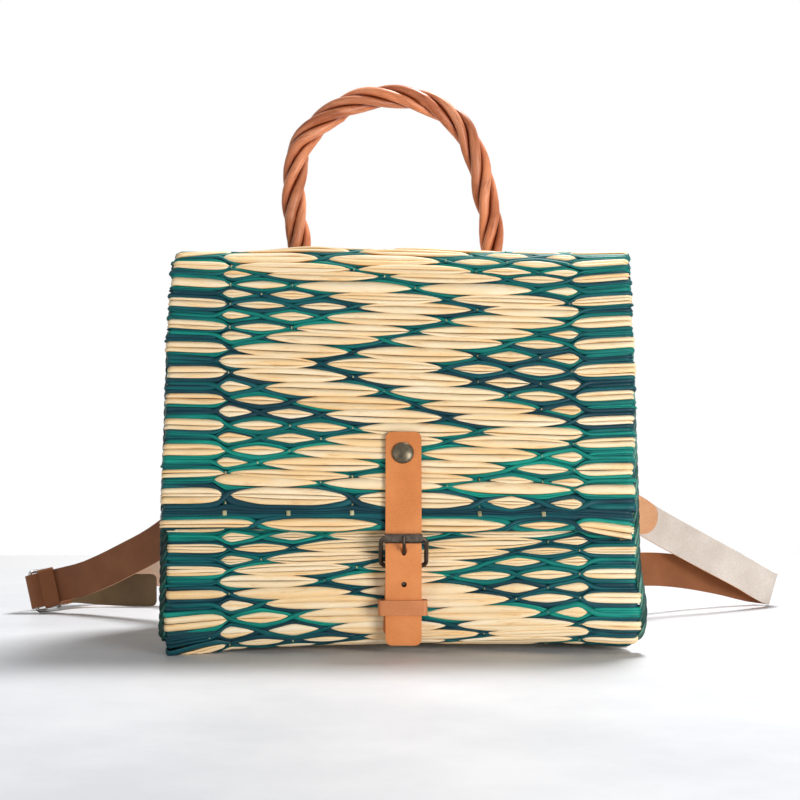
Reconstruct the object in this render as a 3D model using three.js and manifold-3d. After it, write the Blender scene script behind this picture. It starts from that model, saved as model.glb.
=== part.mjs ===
// Reed backpack basket: a body of woven mats, a lid, a twisted willow handle,
// a leather closure with a wire buckle, and two leather shoulder straps.
// Millimetres. X runs along the basket, the front faces -Y, Z is up.
import * as THREE from 'three';
import { mergeVertices } from 'three/addons/utils/BufferGeometryUtils.js';
import Module from 'manifold-3d';

const wasm = await Module();
wasm.setup();

// Overall sizes
const GAP = 0.3;
const MAT = 8;
const BODY_WIDTH = 294;
const LID_WIDTH = 298;
const HALF_DEPTH = 72;
const CORNER_RADIUS = 14;
const RIM_HEIGHT = 205;
const CROWN_HEIGHT = 258.3;
const HINGE_Y = 16;
const FLAP_TOP_Y = -36.3;
const FLAP_BOTTOM_Y = -81;
const FLAP_BOTTOM_Z = 81;
const LID_BEND_RADIUS = 22;
const RIM_CLEARANCE = 1;
const FLAP_CLEARANCE = 1.9;
const SELVEDGE = 2;
const BASE_HALF = 40;
const CORD_RADIUS = 2.4;

// Handle
const ROD_COUNT = 4;
const ROD_RADIUS = 3.2;
const ROD_PITCH_LEFT = 80;
const ROD_PITCH_RIGHT = 125;
const HANDLE_Y = 31;
const HANDLE_LEFT_X = -70;
const HANDLE_RIGHT_X = 63.5;
const HANDLE_RISE = 111.5;
const ARCH_STEPS = 68;
const LEG_END_Z = 150;
const LASHING_Z = 170;
const LASHING_HEIGHT = 12;
const LASHING_THICKNESS = 1.6;
const LASHING_FOOT = 7;

// Closure
const CLOSURE_X = 2.2;
const CLOSURE_WIDTH = 22.5;
const CLOSURE_THICKNESS = 2.4;
const CLOSURE_TOP_Z = 140;
const CLOSURE_END_Z = 7;
const CLOSURE_RIVET_Z = 126;
const CLOSURE_HOLE_Z = [64.7, 45.3];
const TAB_THICKNESS = 2;
const TAB_TILT = 2.8;
const TAB_END_Z = 12;
const TAB_FLAP_END_Z = 23;
const TAB_RIVET_Z = [45.5, 17.5];
const WIRE_RADIUS = 1.45;
const BUCKLE_HALF_WIDTH = 14.1;
const HINGE_BAR_Z = 56.4;
const FRONT_BAR_Z = 74.2;
const SLEEVE_HALF = [2, 3];
const SLEEVE_LENGTH = 23.4;
const PRONG_RADIUS = 1.2;
const PRONG_SHIFT = 0.3;
const HOLE_PLAY = 0.55;
const KEEPER_Z = 30.8;
const KEEPER_HEIGHT = 9.5;
const KEEPER_THICKNESS = 1.5;
const KEEPER_HALF_WIDTH = 15.4;

// Shoulder straps
const STRAP_WIDTH = 25;
const STRAP_THICKNESS = 2.2;
const STRAP_TIP = 12;
const STRAP_BLUNT_END = 4;
const RING_WIRE = 1.4;
const RING_LENGTH = 23;

// Rivets
const STRAP_RIVET_AT = [11, 25];
const SHANK_RADIUS = 1.6;
const CLOSURE_HEAD = { radius: 6.9, height: 3 };
const TAB_HEAD = { radius: 3.6, height: 0.8 };
const STRAP_HEAD = { radius: 4.5, height: 1.8 };
const RIVET_TAIL = { radius: 4, height: 1 };
const TAIL_SEAT = 8;

// Colours
const LOOK = {
  reed: { color: 0x9fae86, roughness: 0.7, metalness: 0 },
  cord: { color: 0x1f7a66, roughness: 0.8, metalness: 0 },
  willow: { color: 0xb8683f, roughness: 0.5, metalness: 0 },
  tan: { color: 0xd98a55, roughness: 0.45, metalness: 0 },
  brown: { color: 0x8a5232, roughness: 0.5, metalness: 0 },
  brass: { color: 0x6d5a3c, roughness: 0.35, metalness: 1 },
  steel: { color: 0x8f9496, roughness: 0.3, metalness: 1 },
};

const basket = new THREE.Group();
const X_AXIS = new THREE.Vector3(1, 0, 0);
const Y_AXIS = new THREE.Vector3(0, 1, 0);
const Z_AXIS = new THREE.Vector3(0, 0, 1);

function toSolid(geometry) {
  const plain = geometry.clone();
  plain.deleteAttribute('normal');
  plain.deleteAttribute('uv');
  const merged = mergeVertices(plain, 1e-4);
  return new wasm.Manifold(new wasm.Mesh({
    numProp: 3,
    vertProperties: new Float32Array(merged.attributes.position.array),
    triVerts: new Uint32Array(merged.index.array),
  }));
}

function toGeometry(solid) {
  const mesh = solid.getMesh();
  const geometry = new THREE.BufferGeometry();
  geometry.setAttribute('position', new THREE.BufferAttribute(mesh.vertProperties, 3));
  geometry.setIndex(new THREE.BufferAttribute(mesh.triVerts, 1));
  geometry.computeVertexNormals();
  return geometry;
}

function addPiece(name, shape, look) {
  const geometry = shape.isBufferGeometry ? shape : toGeometry(shape);
  const mesh = new THREE.Mesh(geometry, new THREE.MeshStandardMaterial(LOOK[look]));
  mesh.name = name;
  basket.add(mesh);
}

// A profile in the Y-Z plane, carried along X from x0 to x1
function acrossX(outline, x0, x1, rounding = 0) {
  const shape = new THREE.Shape(outline);
  const geometry = new THREE.ExtrudeGeometry(shape, {
    depth: x1 - x0 - 2 * rounding,
    bevelEnabled: rounding > 0,
    bevelThickness: rounding,
    bevelSize: rounding,
    bevelOffset: -rounding,
    bevelSegments: 1,
  });
  geometry.translate(0, 0, x0 + rounding);
  return geometry.applyMatrix4(new THREE.Matrix4().makeBasis(Y_AXIS, Z_AXIS, X_AXIS));
}

// The line moved sideways, to the left of its direction when distance is positive
function offsetLine(points, distance) {
  return points.map((point, i) => {
    const before = points[Math.max(i - 1, 0)];
    const after = points[Math.min(i + 1, points.length - 1)];
    const along = after.clone().sub(before).normalize();
    return new THREE.Vector2(point.x - along.y * distance, point.y + along.x * distance);
  });
}

function strip(points, near, far) {
  return [...offsetLine(points, near), ...offsetLine(points, far).reverse()];
}

function spline(pairs, count) {
  const curve = new THREE.SplineCurve(pairs.map(([y, z]) => new THREE.Vector2(y, z)));
  return curve.getSpacedPoints(count);
}

function heightLookup(line) {
  return (z) => {
    for (let i = 1; i < line.length; i += 1) {
      const [a, b] = [line[i - 1], line[i]];
      if ((z - a.y) * (z - b.y) <= 0 && a.y !== b.y) {
        return a.x + ((b.x - a.x) * (z - a.y)) / (b.y - a.y);
      }
    }
    return line[line.length - 1].x;
  };
}

// Stations of points joined by side faces, closed round or capped at both ends
function loft(stations, closed) {
  const sides = stations[0].length;
  const positions = stations.flat().flatMap((p) => [p.x, p.y, p.z]);
  const index = [];
  const spans = closed ? stations.length : stations.length - 1;
  for (let i = 0; i < spans; i += 1) {
    const next = (i + 1) % stations.length;
    for (let k = 0; k < sides; k += 1) {
      const k2 = (k + 1) % sides;
      const [a, b, c, d] = [i * sides + k, i * sides + k2, next * sides + k2, next * sides + k];
      index.push(a, b, c, a, c, d);
    }
  }
  if (!closed) {
    const last = (stations.length - 1) * sides;
    for (let k = 1; k < sides - 1; k += 1) {
      index.push(0, k + 1, k);
      index.push(last, last + k, last + k + 1);
    }
  }
  const geometry = new THREE.BufferGeometry();
  geometry.setAttribute('position', new THREE.Float32BufferAttribute(positions, 3));
  geometry.setIndex(index);
  if (signedVolume(geometry) < 0) {
    for (let i = 0; i < index.length; i += 3) {
      [index[i + 1], index[i + 2]] = [index[i + 2], index[i + 1]];
    }
    geometry.setIndex(index);
  }
  geometry.computeVertexNormals();
  return geometry;
}

function signedVolume(geometry) {
  const at = geometry.attributes.position;
  const [a, b, c] = [new THREE.Vector3(), new THREE.Vector3(), new THREE.Vector3()];
  let sum = 0;
  for (let i = 0; i < geometry.index.count; i += 3) {
    a.fromBufferAttribute(at, geometry.index.getX(i));
    b.fromBufferAttribute(at, geometry.index.getX(i + 1));
    c.fromBufferAttribute(at, geometry.index.getX(i + 2));
    sum += a.dot(b.cross(c));
  }
  return sum;
}

// A round bar along points, each section turned with the path
function bar(points, radius, sides, closed = false) {
  const count = points.length;
  let lean = null;
  const stations = points.map((point, i) => {
    const before = closed ? points[(i + count - 1) % count] : points[Math.max(i - 1, 0)];
    const after = closed ? points[(i + 1) % count] : points[Math.min(i + 1, count - 1)];
    const along = after.clone().sub(before).normalize();
    if (!lean) {
      lean = Math.abs(along.x) < 0.7 ? X_AXIS.clone() : Y_AXIS.clone();
    }
    lean.addScaledVector(along, -lean.dot(along)).normalize();
    const across = along.clone().cross(lean);
    return Array.from({ length: sides }, (unused, k) => {
      const turn = (2 * Math.PI * (k + 0.5)) / sides;
      return point.clone()
        .addScaledVector(lean, radius * Math.cos(turn))
        .addScaledVector(across, radius * Math.sin(turn));
    });
  });
  return loft(stations, closed);
}

function boxSolid(low, high) {
  const size = high.clone().sub(low);
  const geometry = new THREE.BoxGeometry(size.x, size.y, size.z);
  const middle = low.clone().add(high).multiplyScalar(0.5);
  return toSolid(geometry.translate(middle.x, middle.y, middle.z));
}

function cutter(centre, axis, radius, length) {
  const geometry = new THREE.CylinderGeometry(radius, radius, length, 12);
  geometry.applyQuaternion(new THREE.Quaternion().setFromUnitVectors(Y_AXIS, axis));
  return toSolid(geometry.translate(centre.x, centre.y, centre.z));
}

// A round-headed rivet: head on the outer face at the origin, tail disc beyond the grip
function rivet(face, axis, grip, head, tail) {
  const back = -grip - GAP;
  const profile = [
    [0, back - tail.height],
    [tail.radius, back - tail.height],
    [tail.radius, back],
    [SHANK_RADIUS, back],
    [SHANK_RADIUS, GAP],
    [head.radius, GAP],
    [head.radius, GAP + head.height * 0.3],
    [head.radius * 0.72, GAP + head.height * 0.8],
    [0, GAP + head.height],
  ].map(([r, h]) => new THREE.Vector2(r, h));
  const geometry = new THREE.LatheGeometry(profile, head.radius > 6 ? 20 : 10);
  geometry.applyQuaternion(new THREE.Quaternion().setFromUnitVectors(Y_AXIS, axis));
  return toSolid(geometry.translate(face.x, face.y, face.z));
}

// Body profiles, top to bottom at the front and bottom to top at the back
function quarter(centreY, fromAngle, toAngle) {
  return Array.from({ length: 6 }, (unused, i) => {
    const turn = fromAngle + ((toAngle - fromAngle) * i) / 5;
    return new THREE.Vector2(
      centreY + CORNER_RADIUS * Math.cos(turn),
      CORNER_RADIUS + CORNER_RADIUS * Math.sin(turn),
    );
  });
}

// The lid's front flap is straight, and the front wall leans with it
const flapTop = new THREE.Vector2(FLAP_TOP_Y, CROWN_HEIGHT);
const flapEnd = new THREE.Vector2(FLAP_BOTTOM_Y, FLAP_BOTTOM_Z);
const flapAlong = flapEnd.clone().sub(flapTop).normalize();
const flapOut = new THREE.Vector2(flapAlong.y, -flapAlong.x);
function flapPoint(z, out) {
  const t = (z - flapTop.y) / (flapEnd.y - flapTop.y);
  return flapTop.clone().lerp(flapEnd, t).addScaledVector(flapOut, out);
}
const behindFlap = (z, clearance) => [flapPoint(z, 0).x - MAT / flapOut.x + clearance, z];
const frontWall = spline([
  behindFlap(RIM_HEIGHT, RIM_CLEARANCE),
  behindFlap(0.732 * RIM_HEIGHT, FLAP_CLEARANCE),
  behindFlap(0.512 * RIM_HEIGHT, FLAP_CLEARANCE),
  [-0.972 * HALF_DEPTH, 0.341 * RIM_HEIGHT],
  [-1.004 * HALF_DEPTH, 0.185 * RIM_HEIGHT],
  [-HALF_DEPTH, CORNER_RADIUS],
], 15);
const frontLine = [
  ...frontWall,
  ...quarter(-HALF_DEPTH + CORNER_RADIUS, -Math.PI, -Math.PI / 2).slice(1),
  new THREE.Vector2(-BASE_HALF, 0),
];
const backWall = spline([
  [HALF_DEPTH, CORNER_RADIUS],
  [1.004 * HALF_DEPTH, 50],
  [0.972 * HALF_DEPTH, 110],
  [0.91 * HALF_DEPTH, 165],
  [0.833 * HALF_DEPTH, RIM_HEIGHT],
  [0.71 * HALF_DEPTH, CROWN_HEIGHT - 25],
  [0.57 * HALF_DEPTH, CROWN_HEIGHT - 10.8],
  [0.41 * HALF_DEPTH, CROWN_HEIGHT - 3.2],
  [HINGE_Y + GAP / 2, CROWN_HEIGHT - 0.5],
], 26);
const backLine = [
  new THREE.Vector2(BASE_HALF, 0),
  ...quarter(HALF_DEPTH - CORNER_RADIUS, -Math.PI / 2, 0).slice(0, -1),
  ...backWall,
];
const frontY = heightLookup(frontWall);
const backY = heightLookup(backWall.slice(0, 20));
const backInnerY = heightLookup(offsetLine(backWall, MAT).slice(0, 20));

// Woven mats of the body
let frontMat = toSolid(acrossX(strip(frontLine, 0, MAT), -BODY_WIDTH / 2, BODY_WIDTH / 2, SELVEDGE));
let backMat = toSolid(acrossX(strip(backLine, 0, MAT), -BODY_WIDTH / 2, BODY_WIDTH / 2, SELVEDGE));
backMat = backMat.subtract(boxSolid(
  new THREE.Vector3(-BODY_WIDTH, 0, RIM_HEIGHT + 20),
  new THREE.Vector3(BODY_WIDTH, HINGE_Y + GAP / 2, CROWN_HEIGHT + 20),
));
const baseEdge = BASE_HALF - GAP;
const baseOutline = [[-baseEdge, 0], [baseEdge, 0], [baseEdge, MAT], [-baseEdge, MAT]];
addPiece(
  'base_mat',
  acrossX(baseOutline.map(([y, z]) => new THREE.Vector2(y, z)), -BODY_WIDTH / 2, BODY_WIDTH / 2, SELVEDGE),
  'reed',
);

// Side panels stand between the two walls, with a hollowed top edge
const panelFront = offsetLine(frontLine, MAT + GAP);
const panelBack = offsetLine(backLine, MAT + GAP).filter((p) => p.y <= RIM_HEIGHT);
const panelTop = new THREE.QuadraticBezierCurve(
  panelBack[panelBack.length - 1],
  new THREE.Vector2(0, RIM_HEIGHT - 12),
  panelFront[0],
).getPoints(8).slice(1, -1);
const panelOutline = [...panelFront, ...panelBack, ...panelTop];
const panelOuter = BODY_WIDTH / 2 - SELVEDGE;
addPiece('left_side_panel', acrossX(panelOutline, -panelOuter, -panelOuter + MAT, 1), 'reed');
addPiece('right_side_panel', acrossX(panelOutline, panelOuter - MAT, panelOuter, 1), 'reed');

// Binding cords along the seams between panels and walls
function seamCord(name, line, side) {
  const x = side * (BODY_WIDTH / 2 + GAP + CORD_RADIUS);
  const points = line.map((p) => new THREE.Vector3(x, p.x, p.y));
  addPiece(name, bar(points, CORD_RADIUS, 6), 'cord');
}
const frontSeam = offsetLine(frontLine, MAT * 0.6).slice(0, -2);
const backSeam = offsetLine(backLine, MAT * 0.6).slice(2).filter((p) => p.y < RIM_HEIGHT + 25);
seamCord('front_left_cord', frontSeam, -1);
seamCord('front_right_cord', frontSeam, 1);
seamCord('back_left_cord', backSeam, -1);
seamCord('back_right_cord', backSeam, 1);

// Lid: a flat top, a bend and a straight front flap
const bendAngle = Math.PI / 2 - Math.atan2(-flapAlong.x, -flapAlong.y);
const bendReach = LID_BEND_RADIUS * Math.tan(bendAngle / 2);
const lidLine = [new THREE.Vector2(HINGE_Y - GAP / 2, CROWN_HEIGHT)];
for (let i = 0; i <= 8; i += 1) {
  const turn = Math.PI / 2 + (bendAngle * i) / 8;
  lidLine.push(new THREE.Vector2(
    FLAP_TOP_Y + bendReach + LID_BEND_RADIUS * Math.cos(turn),
    CROWN_HEIGHT - LID_BEND_RADIUS + LID_BEND_RADIUS * Math.sin(turn),
  ));
}
lidLine.push(flapEnd);
let lidMat = toSolid(acrossX(strip(lidLine, 0, MAT), -LID_WIDTH / 2, LID_WIDTH / 2, SELVEDGE));

// Handle: rods laid round each other along one arch, legs inside the back wall
const bundleCore = ((2 * ROD_RADIUS + GAP) / Math.SQRT2) * 1.04;
const bundleRadius = bundleCore + ROD_RADIUS;
const legY = (z) => backInnerY(z) - 2 * GAP - bundleRadius;
const legLevels = [LEG_END_Z, LASHING_Z, RIM_HEIGHT - 7];
const legPoints = (x) => legLevels.map((z) => new THREE.Vector3(x, legY(z), z));
// Share of the way from foot to foot, and share of the rise over the crown
const archShape = [
  [0.004, -0.2],
  [0.004, 0.076],
  [-0.024, 0.299],
  [-0.024, 0.496],
  [0.007, 0.692],
  [0.072, 0.796],
  [0.2, 0.919],
  [0.323, 0.982],
  [0.457, 1],
  [0.605, 0.984],
  [0.739, 0.919],
  [0.849, 0.804],
  [0.899, 0.685],
  [0.941, 0.553],
  [0.968, 0.387],
  [0.993, 0.256],
  [1, 0.058],
  [1, -0.2],
].map(([across, rise]) => new THREE.Vector3(
  HANDLE_LEFT_X + across * (HANDLE_RIGHT_X - HANDLE_LEFT_X),
  HANDLE_Y + (rise < 0 ? 4 : 0),
  CROWN_HEIGHT + rise * HANDLE_RISE,
));
const arch = new THREE.CatmullRomCurve3([
  ...legPoints(HANDLE_LEFT_X),
  ...archShape,
  ...legPoints(HANDLE_RIGHT_X).reverse(),
], false, 'centripetal');
const archLength = arch.getLength();
// Turns made up to a share s of the arch: tight at the left foot, slack at the right
function rodTurns(s) {
  const [tight, slack] = [1 / ROD_PITCH_LEFT, 1 / ROD_PITCH_RIGHT];
  return archLength * s * (tight + ((slack - tight) * s) / 2);
}
for (let rod = 0; rod < ROD_COUNT; rod += 1) {
  const points = [];
  for (let i = 0; i <= ARCH_STEPS; i += 1) {
    const s = i / ARCH_STEPS;
    const along = arch.getTangentAt(s);
    const across = Y_AXIS.clone().addScaledVector(along, -Y_AXIS.dot(along)).normalize();
    const out = across.clone().cross(along);
    const turn = 2 * Math.PI * (rod / ROD_COUNT + rodTurns(s));
    points.push(arch.getPointAt(s)
      .addScaledVector(out, bundleCore * Math.cos(turn))
      .addScaledVector(across, bundleCore * Math.sin(turn)));
  }
  addPiece(`handle_rod_${rod + 1}`, bar(points, ROD_RADIUS, 6), 'willow');
}
for (const [from, to] of [[0, 0.27], [0.73, 1]]) {
  const leg = Array.from({ length: 16 }, (unused, i) => arch.getPointAt(from + ((to - from) * i) / 15));
  backMat = backMat.subtract(toSolid(bar(leg, bundleRadius + 2.5 * GAP, 12)));
}

// Lashings hold the legs to the inside of the back wall
function lashing(name, x) {
  const inner = bundleRadius + GAP;
  const outer = inner + LASHING_THICKNESS;
  const centre = bundleRadius + 2 * GAP;
  const foot = outer + LASHING_FOOT;
  const shape = new THREE.Shape();
  shape.moveTo(-foot, GAP);
  shape.lineTo(-foot, GAP + LASHING_THICKNESS);
  shape.lineTo(-outer, GAP + LASHING_THICKNESS);
  shape.lineTo(-outer, centre);
  shape.absarc(0, centre, outer, Math.PI, 0, true);
  shape.lineTo(outer, GAP + LASHING_THICKNESS);
  shape.lineTo(foot, GAP + LASHING_THICKNESS);
  shape.lineTo(foot, GAP);
  shape.lineTo(inner, GAP);
  shape.lineTo(inner, centre);
  shape.absarc(0, centre, inner, 0, Math.PI, false);
  shape.lineTo(-inner, GAP);
  const geometry = new THREE.ExtrudeGeometry(shape, {
    depth: LASHING_HEIGHT,
    bevelEnabled: false,
    curveSegments: 8,
  });
  geometry.translate(0, 0, -LASHING_HEIGHT / 2);
  const up = new THREE.Vector3(0, backInnerY(LASHING_Z + 10) - backInnerY(LASHING_Z - 10), 20).normalize();
  const inward = X_AXIS.clone().cross(up).multiplyScalar(-1);
  const frame = new THREE.Matrix4().makeBasis(X_AXIS.clone().multiplyScalar(-1), inward.negate(), up);
  frame.setPosition(x, backInnerY(LASHING_Z), LASHING_Z);
  addPiece(name, geometry.applyMatrix4(frame), 'reed');
}
lashing('handle_lashing_left', HANDLE_LEFT_X);
lashing('handle_lashing_right', HANDLE_RIGHT_X);

// Closure strap: lies on the flap, passes behind the front bar and ends near the base
const strapFoot = TAB_THICKNESS * 2 + WIRE_RADIUS * 2 + GAP * 4;
const closureInner = [
  ...[CLOSURE_TOP_Z + 5, 120, 100].map((z) => flapPoint(z, GAP)),
  flapPoint(FLAP_BOTTOM_Z, GAP),
  ...spline([
    [FLAP_BOTTOM_Y - GAP, FLAP_BOTTOM_Z - 4],
    [FLAP_BOTTOM_Y - GAP, FRONT_BAR_Z],
    [frontY(HINGE_BAR_Z) - strapFoot - 1.7, HINGE_BAR_Z],
    [frontY(TAB_RIVET_Z[0]) - strapFoot, TAB_RIVET_Z[0]],
    [frontY(KEEPER_Z) - strapFoot + 0.7, KEEPER_Z],
    [frontY(TAB_FLAP_END_Z) - strapFoot + 0.8, TAB_FLAP_END_Z - 1],
    [frontY(20) - strapFoot + 1.8, 14],
    [frontY(20) - strapFoot + 2.6, CLOSURE_END_Z - 4],
  ], 12),
];
const closureY = heightLookup(closureInner);

function roundedWindow(x, width, low, high, radius) {
  const shape = new THREE.Shape();
  const [left, right] = [-width / 2, width / 2];
  shape.moveTo(left + radius, low);
  shape.lineTo(right - radius, low);
  shape.absarc(right - radius, low + radius, radius, -Math.PI / 2, 0, false);
  shape.lineTo(right, high - radius);
  shape.absarc(right - radius, high - radius, radius, 0, Math.PI / 2, false);
  shape.lineTo(left + radius, high);
  shape.absarc(left + radius, high - radius, radius, Math.PI / 2, Math.PI, false);
  shape.lineTo(left, low + radius);
  shape.absarc(left + radius, low + radius, radius, Math.PI, Math.PI * 1.5, false);
  const geometry = new THREE.ExtrudeGeometry(shape, { depth: 120, bevelEnabled: false, curveSegments: 4 });
  geometry.rotateX(Math.PI / 2);
  return geometry.translate(x, 0, 0);
}

const closureLeft = CLOSURE_X - CLOSURE_WIDTH / 2;
let closureStrap = toSolid(acrossX(
  strip(closureInner, 0, -CLOSURE_THICKNESS),
  closureLeft,
  closureLeft + CLOSURE_WIDTH,
)).intersect(toSolid(roundedWindow(CLOSURE_X, CLOSURE_WIDTH, CLOSURE_END_Z, CLOSURE_TOP_Z, 4)));
const tabFold = WIRE_RADIUS + GAP + TAB_THICKNESS;
const hingeBar = new THREE.Vector3(CLOSURE_X, frontY(HINGE_BAR_Z) - 1.5 * GAP - tabFold, HINGE_BAR_Z);
const frontBar = new THREE.Vector3(
  CLOSURE_X,
  closureY(FRONT_BAR_Z) - CLOSURE_THICKNESS - GAP - SLEEVE_HALF[0],
  FRONT_BAR_Z,
);
CLOSURE_HOLE_Z.forEach((z, i) => {
  const middle = closureY(z) - CLOSURE_THICKNESS / 2;
  const centre = new THREE.Vector3(CLOSURE_X + PRONG_SHIFT, middle, z);
  const axis = i === 0 ? frontBar.clone().sub(hingeBar).normalize() : Y_AXIS;
  closureStrap = closureStrap.subtract(cutter(centre, axis, PRONG_RADIUS + HOLE_PLAY, 20));
});

// Closure rivet through strap and flap
const rivetSpot = flapPoint(CLOSURE_RIVET_Z, GAP + CLOSURE_THICKNESS);
const rivetFace = new THREE.Vector3(CLOSURE_X - 0.4, rivetSpot.x, rivetSpot.y);
const rivetAxis = new THREE.Vector3(0, flapOut.x, flapOut.y);
const closureGrip = CLOSURE_THICKNESS + GAP + MAT;
const closureShank = cutter(rivetFace, rivetAxis, SHANK_RADIUS + GAP, 60);
closureStrap = closureStrap.subtract(closureShank);
lidMat = lidMat.subtract(closureShank);
addPiece('lid_mat', lidMat, 'reed');
addPiece('closure_strap', closureStrap, 'tan');
addPiece(
  'closure_rivet',
  rivet(rivetFace, rivetAxis, closureGrip, CLOSURE_HEAD, RIVET_TAIL),
  'brass',
);

// Buckle frame: one bent wire loop from the hinge bar to the front bar
function wireLoop(origin, along, across, length, halfWidth, corner, radius) {
  const points = [];
  const corners = [[0, -1, Math.PI], [1, -1, -Math.PI / 2], [1, 1, 0], [0, 1, Math.PI / 2]];
  for (const [end, side, start] of corners) {
    const u = end ? length - corner : corner;
    const v = side * (halfWidth - corner);
    for (let k = 0; k <= 4; k += 1) {
      const turn = start + (Math.PI / 2) * (k / 4);
      points.push(origin.clone()
        .addScaledVector(along, u + corner * Math.cos(turn))
        .addScaledVector(across, v + corner * Math.sin(turn)));
    }
  }
  return bar(points, radius, 7, true);
}
const frameAlong = frontBar.clone().sub(hingeBar);
const frameLength = frameAlong.length();
frameAlong.normalize();
const buckleLoop = wireLoop(hingeBar, frameAlong, X_AXIS, frameLength, BUCKLE_HALF_WIDTH, 3, WIRE_RADIUS);
addPiece('buckle_frame', buckleLoop, 'brass');

// Flat sleeve crimped round the front bar
const sleeveShape = new THREE.Shape();
const sleeveArc = SLEEVE_HALF[1] - SLEEVE_HALF[0];
sleeveShape.absarc(0, sleeveArc, SLEEVE_HALF[0], 0, Math.PI, false);
sleeveShape.absarc(0, -sleeveArc, SLEEVE_HALF[0], Math.PI, Math.PI * 2, false);
const sleeveBore = new THREE.Path();
sleeveBore.absarc(0, 0, WIRE_RADIUS + 0.1, 0, Math.PI * 2, true);
sleeveShape.holes.push(sleeveBore);
const sleeve = new THREE.ExtrudeGeometry(sleeveShape, {
  depth: SLEEVE_LENGTH,
  bevelEnabled: false,
  curveSegments: 8,
});
sleeve.translate(0, 0, -SLEEVE_LENGTH / 2);
sleeve.applyMatrix4(new THREE.Matrix4().makeBasis(Y_AXIS, Z_AXIS, X_AXIS));
addPiece('buckle_sleeve', sleeve.translate(frontBar.x, frontBar.y, frontBar.z), 'brass');

// Prong: curls round the hinge bar and rests on the sleeve
const prongRing = WIRE_RADIUS + 0.25 + PRONG_RADIUS;
const prongPoints = [];
for (let k = 0; k <= 12; k += 1) {
  const turn = THREE.MathUtils.degToRad(-300 + (275 * k) / 12);
  prongPoints.push([prongRing * Math.cos(turn), prongRing * Math.sin(turn)]);
}
const holeOut = hingeBar.y - closureY(CLOSURE_HOLE_Z[0]) + CLOSURE_THICKNESS / 2;
const restOut = hingeBar.y - frontBar.y + SLEEVE_HALF[0] + GAP + PRONG_RADIUS;
const restUp = FRONT_BAR_Z - HINGE_BAR_Z;
prongPoints.push([holeOut, CLOSURE_HOLE_Z[0] - HINGE_BAR_Z]);
prongPoints.push([restOut - 1.1, restUp - SLEEVE_HALF[1] - GAP - PRONG_RADIUS * 1.5]);
prongPoints.push([restOut, restUp - SLEEVE_HALF[1] + 0.4]);
prongPoints.push([restOut, restUp]);
prongPoints.push([restOut - 0.3, restUp + SLEEVE_HALF[1] - 0.4]);
const prongPath = prongPoints.map(([out, up]) => (
  new THREE.Vector3(CLOSURE_X + PRONG_SHIFT, hingeBar.y - out, hingeBar.z + up)
));
addPiece('buckle_prong', bar(prongPath, PRONG_RADIUS, 6), 'brass');

// Tab: leather folded round the hinge bar, keeper held between its two layers
const tabRear = [TAB_END_Z - 4, 20, 32, HINGE_BAR_Z - 6].map((z) => (
  new THREE.Vector2(frontY(Math.max(z, CORNER_RADIUS)) - GAP - TAB_THICKNESS / 2, z)
));
const foldRadius = WIRE_RADIUS + GAP + TAB_THICKNESS / 2;
const tabFoldPoints = Array.from({ length: 9 }, (unused, i) => {
  const turn = (Math.PI * i) / 8;
  return new THREE.Vector2(
    hingeBar.y + foldRadius * Math.cos(turn),
    hingeBar.z + foldRadius * Math.sin(turn),
  );
});
const tabLayerGap = KEEPER_THICKNESS + 2 * GAP;
const tabFront = [46, KEEPER_Z, TAB_FLAP_END_Z - 4].map((z) => (
  new THREE.Vector2(frontY(z) - GAP - TAB_THICKNESS * 1.5 - tabLayerGap, z)
));
const tabLine = [...tabRear, ...tabFoldPoints, ...tabFront];
const tabWidth = CLOSURE_WIDTH - 0.6;
const tabLeft = CLOSURE_X - tabWidth / 2;
let tab = toSolid(acrossX(
  strip(tabLine, -TAB_THICKNESS / 2, TAB_THICKNESS / 2),
  tabLeft,
  tabLeft + tabWidth,
));
tab = tab.intersect(toSolid(roundedWindow(CLOSURE_X, tabWidth, TAB_END_Z, HINGE_BAR_Z + 30, 5)));
const flapCut = boxSolid(
  new THREE.Vector3(CLOSURE_X - 30, tabFront[1].x - 8, -10),
  new THREE.Vector3(CLOSURE_X + 30, tabFront[1].x + TAB_THICKNESS, TAB_FLAP_END_Z),
);
tab = tab.subtract(flapCut);
const slotHalf = PRONG_RADIUS + HOLE_PLAY;
tab = tab.subtract(boxSolid(
  new THREE.Vector3(CLOSURE_X + PRONG_SHIFT - slotHalf, hingeBar.y - 6, hingeBar.z - 8),
  new THREE.Vector3(CLOSURE_X + PRONG_SHIFT + slotHalf, hingeBar.y + 6, hingeBar.z + 6),
));
const tabTilt = THREE.MathUtils.degToRad(TAB_TILT);
const tiltX = (z) => CLOSURE_X - (HINGE_BAR_Z - z) * Math.tan(tabTilt);
const tabShear = new THREE.Matrix4().set(
  1, 0, Math.tan(tabTilt), -HINGE_BAR_Z * Math.tan(tabTilt),
  0, 1, 0, 0,
  0, 0, 1, 0,
  0, 0, 0, 1,
);
tab = toSolid(toGeometry(tab).applyMatrix4(tabShear));

// Two rivets fix the tab to the front wall
const FORWARD = new THREE.Vector3(0, -1, 0);
const tabLayers = [tabLayerGap + 2 * TAB_THICKNESS, TAB_THICKNESS];
TAB_RIVET_Z.forEach((z, i) => {
  const face = new THREE.Vector3(tiltX(z), frontY(z) - GAP - tabLayers[i], z);
  const shank = cutter(face, FORWARD, SHANK_RADIUS + GAP, 60);
  tab = tab.subtract(shank);
  frontMat = frontMat.subtract(shank);
  addPiece(
    `tab_rivet_${i + 1}`,
    rivet(face, FORWARD, tabLayers[i] + GAP + MAT, TAB_HEAD, RIVET_TAIL),
    'brass',
  );
});
addPiece('buckle_tab', tab, 'tan');
addPiece('front_mat', frontMat, 'reed');

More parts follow.
